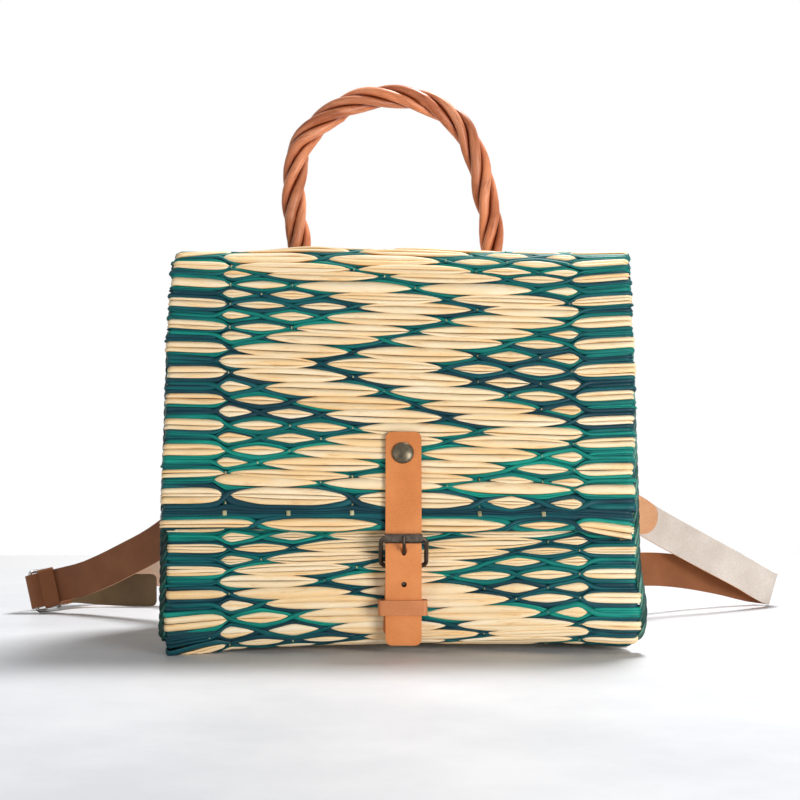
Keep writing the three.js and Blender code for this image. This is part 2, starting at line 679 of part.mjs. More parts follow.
// Keeper: a leather loop round the strap, its back between the tab's layers
const keeperBack = frontY(KEEPER_Z) - 2 * GAP - TAB_THICKNESS;
const keeperFront = closureY(KEEPER_Z) - CLOSURE_THICKNESS - 2 * GAP - KEEPER_THICKNESS;
function keeperLoop(halfWidth, depth, thickness, height) {
  const shape = new THREE.Shape();
  const corner = Math.min(2.6, depth / 2 - 0.1);
  const edge = (path, w, d, r, clockwise) => {
    const turns = [[1, 1, 0], [-1, 1, 1], [-1, -1, 2], [1, -1, 3]];
    const order = clockwise ? turns.reverse() : turns;
    order.forEach(([sx, sy, q]) => {
      const from = (Math.PI / 2) * (clockwise ? q + 1 : q);
      const to = (Math.PI / 2) * (clockwise ? q : q + 1);
      path.absarc(sx * (w - r), sy * (d - r), r, from, to, clockwise);
    });
  };
  edge(shape, halfWidth, depth / 2, corner, false);
  const bore = new THREE.Path();
  edge(bore, halfWidth - thickness, depth / 2 - thickness, corner - thickness * 0.7, true);
  shape.holes.push(bore);
  const geometry = new THREE.ExtrudeGeometry(shape, {
    depth: height,
    bevelEnabled: false,
    curveSegments: 3,
  });
  return geometry.translate(0, 0, -height / 2);
}
const keeper = keeperLoop(KEEPER_HALF_WIDTH, keeperBack - keeperFront, KEEPER_THICKNESS, KEEPER_HEIGHT);
addPiece(
  'keeper_loop',
  keeper.translate(CLOSURE_X - 0.5, (keeperBack + keeperFront) / 2, KEEPER_Z),
  'tan',
);

// Shoulder straps
function wallNormal(z) {
  const slope = (backY(z + 6) - backY(z - 6)) / 12;
  return new THREE.Vector3(0, 1, -slope).normalize();
}

function onWall(x, z, lift) {
  return new THREE.Vector3(x, backY(z), z).addScaledVector(wallNormal(z), lift);
}

const squareTo = (v, axis) => v.addScaledVector(axis, -v.dot(axis)).normalize();

// The way a band's outer side looks at a point, square to the band's direction
function outerSide(along, point, { wall, width }, face) {
  const outer = along.clone().cross(squareTo(width.clone(), along)).multiplyScalar(face);
  const toWall = wallNormal(point.z).multiplyScalar(Math.sign(wall));
  return squareTo(outer.lerp(toWall, Math.abs(wall)), along);
}

// Leather band along points: face says which way its outer side looks, and
// the points flagged flat lie against the back wall
function band(points, face, flat, ends) {
  const half = STRAP_WIDTH / 2;
  const lengths = [0];
  points.forEach((p, i) => {
    if (i > 0) {
      lengths.push(lengths[i - 1] + p.distanceTo(points[i - 1]));
    }
  });
  const total = lengths[lengths.length - 1];
  const stations = points.map((point, i) => {
    const before = points[Math.max(i - 1, 0)];
    const after = points[Math.min(i + 1, points.length - 1)];
    const along = after.clone().sub(before).normalize();
    const out = outerSide(along, point, flat[i], face);
    const side = out.clone().cross(along);
    const reach = Math.min(
      ends[0] ? endReach(lengths[i], ends[0]) : half,
      ends[1] ? endReach(total - lengths[i], ends[1]) : half,
    );
    return [[-1, -1], [1, -1], [1, 1], [-1, 1]].map(([s, t]) => (
      point.clone()
        .addScaledVector(side, s * reach)
        .addScaledVector(out, (t * STRAP_THICKNESS) / 2)
    ));
  });
  return toSolid(loft(stations, false));
}

// Half width of a band at a distance from a round end
function endReach(distance, radius) {
  const half = STRAP_WIDTH / 2;
  if (distance >= radius) {
    return half;
  }
  const rest = radius - distance;
  return Math.max(half - radius + Math.sqrt(Math.max(radius * radius - rest * rest, 0)), 1);
}

// Samples of a smooth route, with extra stations close to its round end
function route(controls, step, roundEndLast) {
  const curve = new THREE.CatmullRomCurve3(controls.map((c) => c.p), false, 'centripetal');
  const length = curve.getLength();
  const count = Math.round(length / step);
  const close = [0.02, 0.09, 0.2, 0.4, 0.65].map((f) => (f * STRAP_WIDTH * 0.5) / length);
  const near = close.map((s) => (roundEndLast ? 1 - s : s));
  const even = Array.from({ length: count - 1 }, (unused, i) => (i + 1) / count);
  const spots = [0, ...near, ...even.filter((s) => near.every((n) => Math.abs(n - s) * length > 1.5)), 1];
  spots.sort((a, b) => a - b);
  return spots.map((s) => {
    const t = curve.getUtoTmapping(s);
    const at = t * (controls.length - 1);
    const low = Math.min(Math.floor(at), controls.length - 2);
    const mix = at - low;
    const width = (controls[low].width ?? Z_AXIS).clone();
    return {
      p: curve.getPoint(t),
      wall: controls[low].wall * (1 - mix) + controls[low + 1].wall * mix,
      width: width.lerp(controls[low + 1].width ?? Z_AXIS, mix),
    };
  });
}

// Half turn round a bar, from one layer to the other
function turnRound(centre, towards, layer, radius) {
  return Array.from({ length: 7 }, (unused, i) => {
    const turn = -Math.PI / 2 + (Math.PI * (i + 0.5)) / 7;
    return centre.clone()
      .addScaledVector(towards, radius * Math.cos(turn))
      .addScaledVector(layer, radius * Math.sin(turn));
  });
}

const layerStep = RING_WIRE + GAP + STRAP_THICKNESS / 2;
const lift = GAP + STRAP_THICKNESS / 2;

// Points that follow a strap back from its end, off its outer side by the given distance
function followBack(main, face, stops) {
  return stops.map(({ back, off }) => {
    let i = main.length - 1;
    let run = 0;
    while (i > 1 && run + main[i].p.distanceTo(main[i - 1].p) < back) {
      run += main[i].p.distanceTo(main[i - 1].p);
      i -= 1;
    }
    const step = main[i].p.distanceTo(main[i - 1].p);
    const mix = (back - run) / step;
    const p = main[i].p.clone().lerp(main[i - 1].p, mix);
    const wall = main[i].wall * (1 - mix) + main[i - 1].wall * mix;
    const width = main[i].width.clone().lerp(main[i - 1].width, mix);
    const along = main[i].p.clone().sub(main[i - 1].p).normalize();
    p.addScaledVector(outerSide(along, p, { wall, width }, face), off);
    return { p, wall: -wall, width };
  });
}

// A strap riveted to the wall at one end and folded round a ring's bar at the other
function foldedStrap(name, controls, ring, tailControls, face, tailEnd) {
  const main = route(controls, 8, false);
  const tail = route(tailControls(main), 8, true);
  const turn = turnRound(ring.centre, ring.towards, ring.layer, layerStep);
  const points = [...main.map((s) => s.p), ...turn, ...tail.map((s) => s.p)];
  const flat = [...main, ...turn.map(() => ({ wall: 0, width: ring.width })), ...tail];
  let solid = band(points, face, flat, [8, tailEnd]);
  STRAP_RIVET_AT.forEach((distance, i) => {
    const [spot] = followBack([...main].reverse(), face, [{ back: distance, off: 0 }]);
    const normal = wallNormal(spot.p.z);
    const height = (spot.p.y - backY(spot.p.z)) * normal.y;
    const head = spot.p.clone().addScaledVector(normal, STRAP_THICKNESS / 2 + GAP / 2);
    const shank = cutter(head, normal, SHANK_RADIUS + GAP, 60);
    const grip = height + (STRAP_THICKNESS + GAP) / 2 + MAT;
    const tailSeat = head.clone().addScaledVector(normal, -grip - TAIL_SEAT / 2);
    solid = solid.subtract(shank);
    backMat = backMat.subtract(shank);
    backMat = backMat.subtract(cutter(tailSeat, normal, RIVET_TAIL.radius + GAP, TAIL_SEAT));
    addPiece(
      `${name}_rivet_${i + 1}`,
      rivet(head, normal, grip, STRAP_HEAD, RIVET_TAIL),
      'brass',
    );
  });
  addPiece(name, solid, 'brown');
}

function free(x, y, z, width = Z_AXIS) {
  return { p: new THREE.Vector3(x, y, z), wall: 0, width };
}

function fixed(x, z, height = lift, wall = 1) {
  return { p: onWall(x, z, height), wall };
}

// The spot beside a ring's bar: back from it, and to one side of its layer plane
function nearBar(ring, back, side, wall = 0) {
  const p = ring.centre.clone()
    .addScaledVector(ring.towards, -back)
    .addScaledVector(ring.layer, side);
  return { p, wall, width: ring.width };
}

const ringHalf = STRAP_WIDTH / 2 + 1.2 + RING_WIRE;
const shoulderKeeper = { thickness: 1.4, height: 11, back: 12 };
const UPPER_START = [24, 208];
const LOWER_Z = 33;

// Left ring stands on its edge at the far end of the loop, and leans with the strap
const leftLean = new THREE.Vector3(-0.25, 0.17, 0.953).normalize();
const leftTowards = squareTo(new THREE.Vector3(-0.97, -0.1, 0), leftLean);
const leftUpperBar = {
  centre: new THREE.Vector3(-275.7, 126, ringHalf * leftLean.z + RING_WIRE),
  towards: leftTowards,
  layer: leftTowards.clone().cross(leftLean),
  width: leftLean,
};
const leftRingAlong = squareTo(new THREE.Vector3(0.562, 0.827, 0), leftLean);
const leftLowerBar = {
  centre: leftUpperBar.centre.clone().addScaledVector(leftRingAlong, RING_LENGTH),
  towards: leftRingAlong.clone().negate(),
  layer: leftRingAlong.clone().cross(leftLean),
  width: leftLean,
};
addPiece(
  'strap_ring_left',
  wireLoop(leftUpperBar.centre, leftRingAlong, leftLean, RING_LENGTH, ringHalf, 2.6, RING_WIRE),
  'steel',
);
foldedStrap('upper_strap_left', [
  fixed(-UPPER_START[0], UPPER_START[1], lift + 0.8),
  fixed(-54, 183, lift + 0.4),
  fixed(-84, 155, lift + 0.4),
  { ...fixed(-112, 122, lift + 4), wall: 0.8 },
  { ...free(-143, 90, 84), wall: 0.4 },
  free(-178.3, 103, 55.4),
  free(-203.7, 113, 41.3),
  free(-224.8, 121, 30.8),
  free(-238, 125.5, 25.4),
  nearBar(leftUpperBar, 22, -2),
  nearBar(leftUpperBar, 3, -layerStep),
], leftUpperBar, (main) => [
  nearBar(leftUpperBar, 3, layerStep),
  ...followBack(main, 1, [{ back: 12, off: 4.2 }, { back: 28, off: 3 }]),
], 1, STRAP_TIP);
foldedStrap('lower_strap_left', [
  fixed(-62, LOWER_Z, lift + 0.1),
  fixed(-78, LOWER_Z, lift + 0.3),
  fixed(-94, LOWER_Z, lift + 1),
  { ...free(-118, 84, LOWER_Z), wall: 0.4 },
  free(-137, 106, 32.5),
  free(-152, 138, 31),
  free(-172, 163, 29),
  free(-197, 177, 26),
  free(-224, 181, 22),
  free(-244, 173, 19, leftLean),
  nearBar(leftLowerBar, 14, -layerStep - 0.6),
  nearBar(leftLowerBar, 3, -layerStep),
], leftLowerBar, () => [
  nearBar(leftLowerBar, 3, layerStep),
  nearBar(leftLowerBar, 12, layerStep + 0.2),
  free(-235, 163, 14, leftLean),
  free(-212, 164, STRAP_WIDTH / 2 + 0.1),
  free(-188.8, 162, STRAP_WIDTH / 2 + 0.1),
], 1, STRAP_BLUNT_END);

// A keeper loop round a strap and its folded end, beside a ring's bar
function strapKeeper(name, ring) {
  const depth = 2 * (layerStep + STRAP_THICKNESS / 2 + 2 * GAP + shoulderKeeper.thickness);
  const halfWidth = STRAP_WIDTH / 2 + 2 * GAP + shoulderKeeper.thickness;
  const loop = keeperLoop(halfWidth, depth, shoulderKeeper.thickness, shoulderKeeper.height);
  const frame = new THREE.Matrix4().makeBasis(
    ring.layer.clone().cross(ring.towards),
    ring.layer,
    ring.towards,
  );
  const middle = nearBar(ring, shoulderKeeper.back, 0).p;
  loop.applyMatrix4(frame.setPosition(middle.x, middle.y, middle.z));
  addPiece(name, loop, 'brown');
}
strapKeeper('strap_keeper_left', leftUpperBar);

// Right ring lies against the back wall, so its strap's slack falls to the side
const RIGHT_RING = [88, 150];
const rightNormal = wallNormal(RIGHT_RING[1]);
const rightDown = new THREE.Vector3(0.741, 0, -0.671);
rightDown.addScaledVector(rightNormal, -rightDown.dot(rightNormal)).normalize();
const rightWidth = rightNormal.clone().cross(rightDown);
if (rightWidth.z < 0) {
  rightWidth.negate();
}
const ringLift = layerStep + STRAP_THICKNESS / 2 + shoulderKeeper.thickness + 3 * GAP;
const rightUpperBar = {
  centre: onWall(RIGHT_RING[0], RIGHT_RING[1], ringLift),
  towards: rightDown,
  layer: rightNormal,
  width: rightWidth,
};
const rightLowerBar = {
  centre: rightUpperBar.centre.clone().addScaledVector(rightDown, RING_LENGTH),
  towards: rightDown.clone().negate(),
  layer: rightNormal.clone().negate(),
  width: rightWidth,
};
addPiece(
  'strap_ring_right',
  wireLoop(rightUpperBar.centre, rightDown, rightWidth, RING_LENGTH, ringHalf, 2.6, RING_WIRE),
  'steel',
);
foldedStrap('upper_strap_right', [
  fixed(UPPER_START[0], UPPER_START[1], lift + 0.8),
  fixed(46, 188, lift + 0.8),
  nearBar(rightUpperBar, 34, -layerStep - 1.2, 1),
  nearBar(rightUpperBar, 16, -layerStep + 0.2, 1),
  nearBar(rightUpperBar, 3, -layerStep, 1),
], rightUpperBar, (main) => [
  nearBar(rightUpperBar, 3, layerStep, -1),
  ...followBack(main, -1, [{ back: 14, off: 4.2 }, { back: 28, off: 3 }]),
], -1, STRAP_TIP);
const rightLean = new THREE.Vector3(0.28, 0, 0.96).normalize();
foldedStrap('lower_strap_right', [
  fixed(60, LOWER_Z, lift + 0.1),
  fixed(76, LOWER_Z, lift + 0.3),
  fixed(92, LOWER_Z, lift + 1),
  { ...free(120, 84, LOWER_Z), wall: 0.5 },
  free(150, 100, LOWER_Z),
  free(184, 124, LOWER_Z),
  free(214, 145, 29),
  free(250, 165, 21),
  free(272, 173.5, 15),
  free(284.5, 176, STRAP_WIDTH / 2 + 0.4, rightLean),
  free(290.3, 170.5, STRAP_WIDTH / 2 + 0.3, rightLean),
  free(287, 163.5, STRAP_WIDTH / 2 + 1.2, rightLean),
  free(278, 156.5, 18.5, rightLean),
  free(262, 147, 27.8),
  free(228, 129, 46),
  free(188, 112, 68),
  { ...free(158, 97, 86.5), wall: -0.4 },
  nearBar(rightLowerBar, 32, -layerStep - 1, -0.8),
  nearBar(rightLowerBar, 12, -layerStep, -1),
  nearBar(rightLowerBar, 3, -layerStep, -1),
], rightLowerBar, (main) => [
  nearBar(rightLowerBar, 3, layerStep, 1),
  ...followBack(main, -1, [
    { back: 14, off: 4.4 },
    ...[32, 48, 64, 80, 96, 111].map((back) => ({ back, off: 3.6 })),
  ]),
], -1, STRAP_TIP);
strapKeeper('strap_keeper_right', rightUpperBar);
addPiece('back_mat', backMat, 'reed');

export default basket;
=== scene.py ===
import math

import bmesh
import bpy
import numpy as np
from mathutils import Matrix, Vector


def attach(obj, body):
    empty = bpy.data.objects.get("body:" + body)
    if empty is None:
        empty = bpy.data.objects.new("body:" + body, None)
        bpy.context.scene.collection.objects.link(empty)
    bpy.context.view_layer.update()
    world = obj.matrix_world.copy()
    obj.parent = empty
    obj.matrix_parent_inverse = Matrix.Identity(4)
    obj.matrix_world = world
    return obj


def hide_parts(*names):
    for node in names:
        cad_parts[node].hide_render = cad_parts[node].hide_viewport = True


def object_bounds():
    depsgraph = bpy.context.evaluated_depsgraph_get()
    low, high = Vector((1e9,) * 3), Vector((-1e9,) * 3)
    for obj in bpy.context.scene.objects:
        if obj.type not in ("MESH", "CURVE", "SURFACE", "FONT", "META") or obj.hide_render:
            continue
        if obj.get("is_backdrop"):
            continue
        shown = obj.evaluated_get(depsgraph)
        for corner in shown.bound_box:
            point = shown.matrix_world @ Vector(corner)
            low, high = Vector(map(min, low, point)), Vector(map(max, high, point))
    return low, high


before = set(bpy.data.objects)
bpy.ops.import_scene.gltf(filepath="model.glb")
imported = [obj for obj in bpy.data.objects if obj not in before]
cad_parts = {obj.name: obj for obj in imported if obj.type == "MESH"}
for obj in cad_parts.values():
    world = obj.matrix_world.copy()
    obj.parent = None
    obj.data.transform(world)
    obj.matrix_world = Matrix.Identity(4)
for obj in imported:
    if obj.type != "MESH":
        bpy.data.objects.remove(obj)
cad_low, cad_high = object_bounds()
MM = 0.001
rng = np.random.default_rng(7)


# Camera: level with the middle of the body, a little over a metre in front
CAMERA_PLACE = (0, -1.072, 0.160)
CAMERA_LENS = 71.64


def make_camera():
    data = bpy.data.cameras.new("camera")
    data.sensor_width = 36
    data.lens = CAMERA_LENS
    data.clip_start = 0.05
    data.clip_end = 20
    camera = bpy.data.objects.new("camera", data)
    camera.location = CAMERA_PLACE
    camera.rotation_euler = (math.radians(90), 0, 0)
    bpy.context.scene.collection.objects.link(camera)
    bpy.context.scene.camera = camera


make_camera()


# Shader helpers
def new_material(name, base=(0.8, 0.8, 0.8), roughness=0.5, metallic=0.0, shine=0.3):
    material = bpy.data.materials.new(name)
    material.use_nodes = True
    shader = material.node_tree.nodes["Principled BSDF"]
    shader.inputs["Base Color"].default_value = (*base, 1)
    shader.inputs["Roughness"].default_value = roughness
    shader.inputs["Metallic"].default_value = metallic
    shader.inputs["Specular IOR Level"].default_value = shine
    return material, material.node_tree, shader


def node(tree, kind, **values):
    made = tree.nodes.new(kind)
    for key, value in values.items():
        if key in made.inputs:
            made.inputs[key].default_value = value
        else:
            setattr(made, key, value)
    return made


def ramp(tree, source, stops):
    made = tree.nodes.new("ShaderNodeValToRGB")
    elements = made.color_ramp.elements
    while len(elements) < len(stops):
        elements.new(0.5)
    for element, (place, colour) in zip(elements, stops):
        element.position = place
        element.color = (*colour, 1)
    tree.links.new(source, made.inputs["Fac"])
    return made.outputs["Color"]


def mix(tree, kind, factor, a, b):
    made = tree.nodes.new("ShaderNodeMix")
    made.data_type = "RGBA"
    made.blend_type = kind
    for socket, value in ((0, factor), (6, a), (7, b)):
        if isinstance(value, bpy.types.NodeSocket):
            tree.links.new(value, made.inputs[socket])
        elif socket == 0:
            made.inputs[socket].default_value = value
        else:
            made.inputs[socket].default_value = (*value, 1)
    return made.outputs[2]


def math_node(tree, operation, a, b=None, clamp=False):
    made = tree.nodes.new("ShaderNodeMath")
    made.operation = operation
    made.use_clamp = clamp
    for socket, value in ((0, a), (1, b)):
        if value is None:
            continue
        if isinstance(value, bpy.types.NodeSocket):
            tree.links.new(value, made.inputs[socket])
        else:
            made.inputs[socket].default_value = value
    return made.outputs[0]


def multiply(tree, colour, share, source, stops):
    return mix(tree, "MULTIPLY", share, colour, ramp(tree, source, stops))


def coat(tree, shader, colour, height, strength, distance=0.0003):
    """Gives the surface its colour and a fine relief."""
    tree.links.new(colour, shader.inputs["Base Color"])
    made = node(tree, "ShaderNodeBump", Strength=strength, Distance=distance)
    tree.links.new(height, made.inputs["Height"])
    tree.links.new(made.outputs["Normal"], shader.inputs["Normal"])


def own_shade(tree):
    """The tone that each reed, strand or rod has for itself."""
    return node(tree, "ShaderNodeAttribute", attribute_name="shade").outputs["Fac"]


def new_group(name, inputs, outputs):
    tree = bpy.data.node_groups.new(name, "ShaderNodeTree")
    for way, names in (("INPUT", inputs), ("OUTPUT", outputs)):
        for socket in names:
            tree.interface.new_socket(socket, in_out=way, socket_type="NodeSocketFloat")
    return tree, tree.nodes.new("NodeGroupInput"), tree.nodes.new("NodeGroupOutput")


# Fibre streaks, slow patches and a mask of the sides of a reed or rod, where shade is painted on, from its
# own UV map in metres
def make_fibre_group():
    tree, given, out = new_group("fibre_streaks", ("Fine", "Coarse"), ("Streak", "Patch", "Side"))
    uv = node(tree, "ShaderNodeUVMap", uv_map="along")
    shade = own_shade(tree)
    stretch = node(tree, "ShaderNodeMapping", Scale=(45, 5, 1))
    shift = node(tree, "ShaderNodeCombineXYZ")
    tree.links.new(math_node(tree, "MULTIPLY", shade, 91.0), shift.inputs["Z"])
    tree.links.new(math_node(tree, "MULTIPLY", shade, 37.0), shift.inputs["Y"])
    tree.links.new(uv.outputs["UV"], stretch.inputs["Vector"])
    tree.links.new(shift.outputs["Vector"], stretch.inputs["Location"])
    streak = node(tree, "ShaderNodeTexNoise", noise_dimensions="3D", Detail=3.0, Roughness=0.6)
    patch = node(tree, "ShaderNodeTexNoise", noise_dimensions="3D", Detail=1.0)
    for texture, size, result in ((streak, "Fine", "Streak"), (patch, "Coarse", "Patch")):
        tree.links.new(stretch.outputs["Vector"], texture.inputs["Vector"])
        tree.links.new(given.outputs[size], texture.inputs["Scale"])
        tree.links.new(texture.outputs["Fac"], out.inputs[result])
    around = node(tree, "ShaderNodeSeparateXYZ")
    tree.links.new(uv.outputs["UV"], around.inputs["Vector"])
    # Mask for painted shade: 0 on the outer face of the reed, rising towards its sides
    side = math_node(tree, "ABSOLUTE", math_node(tree, "SUBTRACT", around.outputs["Y"], 0.5))
    tree.links.new(side, out.inputs["Side"])
    return tree


FIBRES = make_fibre_group()


def fibres(tree, fine, coarse):
    """Streak, patch and the side mask for painted shade, by the fineness of the first two."""
    return node(tree, "ShaderNodeGroup", node_tree=FIBRES, Fine=fine, Coarse=coarse).outputs


def straw_material():
    material, tree, shader = new_material("straw_reed", roughness=0.40)
    streak, patch, side = fibres(tree, 1.1, 0.5)
    colour = ramp(tree, own_shade(tree), [
        (0.0, (0.80, 0.55, 0.28)),
        (0.25, (0.92, 0.70, 0.42)),
        (0.7, (0.97, 0.79, 0.53)),
        (1.0, (1.0, 0.88, 0.67)),
    ])
    colour = multiply(tree, colour, 0.75, streak, [
        (0.28, (0.72, 0.52, 0.32)),
        (0.40, (0.97, 0.92, 0.84)),
        (0.60, (1.0, 1.0, 1.0)),
    ])
    colour = multiply(tree, colour, 0.8, patch, [(0.35, (1.0, 0.84, 0.62)), (0.55, (1.0, 1.0, 1.0))])
    # Painted shade: the reed's sides darken to brown towards the shaded gaps between reeds
    colour = multiply(tree, colour, 1.0, side, [
        (0.14, (1.0, 1.0, 1.0)),
        (0.21, (0.86, 0.69, 0.47)),
        (0.26, (0.44, 0.27, 0.12)),
    ])
    coat(tree, shader, colour, streak, 0.3)
    return material


def teal_material():
    material, tree, shader = new_material("teal_reed", roughness=0.42, shine=0.2)
    streak, patch, side = fibres(tree, 1.0, 0.45)
    moved = math_node(tree, "MULTIPLY", math_node(tree, "SUBTRACT", patch, 0.5), 1.3)
    colour = ramp(tree, math_node(tree, "ADD", own_shade(tree), moved, clamp=True), [
        (0.0, (0.005, 0.040, 0.055)),
        (0.25, (0.006, 0.090, 0.104)),
        (0.45, (0.003, 0.116, 0.110)),
        (0.7, (0.003, 0.175, 0.145)),
        (1.0, (0.008, 0.275, 0.205)),
    ])
    # Fibre streaks, darker and lighter; where brightest they lift the colour above its own as a painted
    # sheen
    colour = multiply(tree, colour, 0.8, streak, [
        (0.28, (0.35, 0.42, 0.46)),
        (0.45, (0.95, 0.96, 0.98)),
        (0.68, (1.25, 1.2, 1.15)),
    ])
    # Painted shade: the reed's sides darken almost to black towards the shaded gaps between reeds
    colour = multiply(tree, colour, 1.0, side, [
        (0.14, (1.0, 1.0, 1.0)),
        (0.21, (0.50, 0.54, 0.56)),
        (0.26, (0.10, 0.14, 0.15)),
    ])
    coat(tree, shader, colour, streak, 0.3)
    return material


def twine_material(name, dark, light):
    material, tree, shader = new_material(name, roughness=0.6)
    streak, _, side = fibres(tree, 6.0, 1.2)
    own = math_node(tree, "MULTIPLY", math_node(tree, "SUBTRACT", own_shade(tree), 0.5), 0.5)
    colour = ramp(tree, math_node(tree, "ADD", streak, own, clamp=True), [(0.3, dark), (0.7, light)])
    # Painted shade on the strands' sides, where they lie against each other
    colour = multiply(tree, colour, 1.0, side, [(0.14, (1.0, 1.0, 1.0)), (0.24, (0.25, 0.25, 0.25))])
    coat(tree, shader, colour, streak, 0.5)
    return material


def willow_material():
    material, tree, shader = new_material("peeled_willow", roughness=0.38)
    streak, patch, side = fibres(tree, 2.0, 0.5)
    colour = ramp(tree, patch, [
        (0.25, (0.42, 0.125, 0.052)),
        (0.5, (0.62, 0.220, 0.100)),
        (0.75, (0.80, 0.340, 0.185)),
    ])
    colour = multiply(tree, colour, 0.8, streak, [
        (0.3, (0.60, 0.48, 0.42)),
        (0.46, (1, 1, 1)),
        (0.7, (1.12, 1.1, 1.08)),
    ])
    colour = multiply(tree, colour, 1.0, own_shade(tree), [
        (0.0, (0.82, 0.80, 0.78)),
        (1.0, (1.1, 1.08, 1.05)),
    ])
    # Painted shade on the rods' sides, where they lie against each other
    colour = multiply(tree, colour, 1.0, side, [
        (0.16, (1, 1, 1)),
        (0.23, (0.74, 0.60, 0.52)),
        (0.28, (0.28, 0.15, 0.09)),
    ])
    coat(tree, shader, colour, streak, 0.3)
    return material


# Leather: pores, a cloudy tone and fine creases on Object coordinates
def make_leather_group():
    tree, given, out = new_group("leather_grain", ("Size",), ("Grain", "Cloud"))
    place = node(tree, "ShaderNodeTexCoord")
    pores = node(tree, "ShaderNodeTexVoronoi", feature="F1", Randomness=1.0)
    creases = node(tree, "ShaderNodeTexNoise", Scale=900.0, Detail=4.0, Roughness=0.7)
    cloud = node(tree, "ShaderNodeTexNoise", Scale=38.0, Detail=3.0)
    for texture in (pores, creases, cloud):
        tree.links.new(place.outputs["Object"], texture.inputs["Vector"])
    tree.links.new(given.outputs["Size"], pores.inputs["Scale"])
    grain = math_node(tree, "ADD", math_node(tree, "MULTIPLY", pores.outputs["Distance"], 0.6),
                      math_node(tree, "MULTIPLY", creases.outputs["Fac"], 0.5))
    tree.links.new(grain, out.inputs["Grain"])
    tree.links.new(cloud.outputs["Fac"], out.inputs["Cloud"])
    return tree


LEATHER = make_leather_group()


def leather_material(name, dark, mid, light, roughness=0.45, pore=1400.0, depth=0.25):
    material, tree, shader = new_material(name, roughness=roughness)
    grain, cloud = node(tree, "ShaderNodeGroup", node_tree=LEATHER, Size=pore).outputs
    colour = ramp(tree, cloud, [(0.3, dark), (0.52, mid), (0.72, light)])
    colour = multiply(tree, colour, 1.0, grain, [(0.25, (0.86, 0.84, 0.82)), (0.6, (1.04, 1.03, 1.02))])
    coat(tree, shader, colour, grain, depth)
    return material


def metal_material(name, dark, light, roughness):
    material, tree, shader = new_material(name, roughness=roughness, metallic=1.0)
    place = node(tree, "ShaderNodeTexCoord")
    texture = node(tree, "ShaderNodeTexNoise", Scale=420.0, Detail=5.0, Roughness=0.65)
    tree.links.new(place.outputs["Object"], texture.inputs["Vector"])
    spots = texture.outputs["Fac"]
    rough = node(tree, "ShaderNodeMapRange")
    rough.inputs["To Min"].default_value = roughness * 0.75
    rough.inputs["To Max"].default_value = min(roughness * 1.5, 1)
    tree.links.new(spots, rough.inputs["Value"])
    tree.links.new(rough.outputs["Result"], shader.inputs["Roughness"])
    coat(tree, shader, ramp(tree, spots, [(0.35, dark), (0.65, light)]), spots, 0.15, 0.0002)
    return material


STRAW = straw_material()
TEAL = teal_material()
WARP_TWINE = twine_material("warp_twine", (0.26, 0.24, 0.12), (0.56, 0.52, 0.30))
# Shaded and lit copies of one green twine: the left cord's painted dark as shade, the right cord's painted
# light as if lit
SHADED_TWINE = twine_material("twine_painted_shade", (0.001, 0.012, 0.010), (0.006, 0.070, 0.052))
LIT_TWINE = twine_material("twine_painted_lit", (0.003, 0.075, 0.060), (0.200, 0.480, 0.380))
WILLOW = willow_material()
TAN = leather_material("tan_leather", (0.62, 0.205, 0.058), (0.68, 0.235, 0.070), (0.74, 0.275, 0.088))
TAN_EDGE = leather_material("tan_leather_edge", (0.22, 0.07, 0.03), (0.30, 0.10, 0.04), (0.38, 0.14, 0.06),
                            0.6)
KEEPER = leather_material("keeper_leather", (0.52, 0.18, 0.066), (0.57, 0.21, 0.078), (0.64, 0.25, 0.095))
BROWN = leather_material("brown_leather", (0.19, 0.062, 0.018), (0.225, 0.076, 0.023), (0.27, 0.096, 0.03),
                         0.5)
FLESH = leather_material("leather_flesh_side", (0.54, 0.47, 0.41), (0.60, 0.53, 0.47), (0.66, 0.59, 0.53),
                         0.8, 900.0, 0.4)
# Painted light: a copy of the flesh side, much lighter and warmer, as if in strong light
LIT_FLESH = leather_material("flesh_side_painted_lit", (0.94, 0.70, 0.56), (0.97, 0.77, 0.63), (1.0, 0.84, 0.70),
                         0.8, 900.0, 0.4)
OLIVE = leather_material("olive_strap_end", (0.12, 0.072, 0.032), (0.145, 0.09, 0.042),
                         (0.18, 0.115, 0.056), 0.6)
STRAP_EDGE = leather_material("strap_edge", (0.52, 0.25, 0.12), (0.60, 0.30, 0.15), (0.68, 0.36, 0.19),
                              0.65)
DARK_EDGE = leather_material("dark_cut_edge", (0.045, 0.014, 0.008), (0.07, 0.022, 0.012),
                             (0.1, 0.035, 0.02), 0.6)
BRASS = metal_material("antique_brass", (0.085, 0.070, 0.048), (0.135, 0.112, 0.076), 0.32)
DARK_METAL = metal_material("dark_buckle", (0.060, 0.048, 0.038), (0.13, 0.105, 0.085), 0.42)
STEEL = metal_material("ring_steel", (0.28, 0.28, 0.27), (0.50, 0.50, 0.49), 0.28)


def belong(made, body, nodes):
    """The piece rides on a body and stands for the solids in nodes."""
    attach(made, body)
    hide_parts(*nodes)


# Tubes: one closed tube is made with bmesh, repeated, and each copy laid along its path
def tube_template(rings, sides):
    bm = bmesh.new()
    bmesh.ops.create_cone(bm, cap_ends=True, segments=sides, radius1=1, radius2=1, depth=rings - 1)
    long_edges = [e for e in bm.edges if abs(e.verts[0].co.z - e.verts[1].co.z) > 0.5]
    bmesh.ops.subdivide_edges(bm, edges=long_edges, cuts=rings - 2, use_grid_fill=False)
    ring = np.array([round(v.co.z + (rings - 1) / 2) for v in bm.verts])
    turn = np.array([math.atan2(v.co.y, v.co.x) for v in bm.verts])
    mesh = bpy.data.meshes.new("tube_template")
    bm.to_mesh(mesh)
    bm.free()
    return mesh, ring, turn


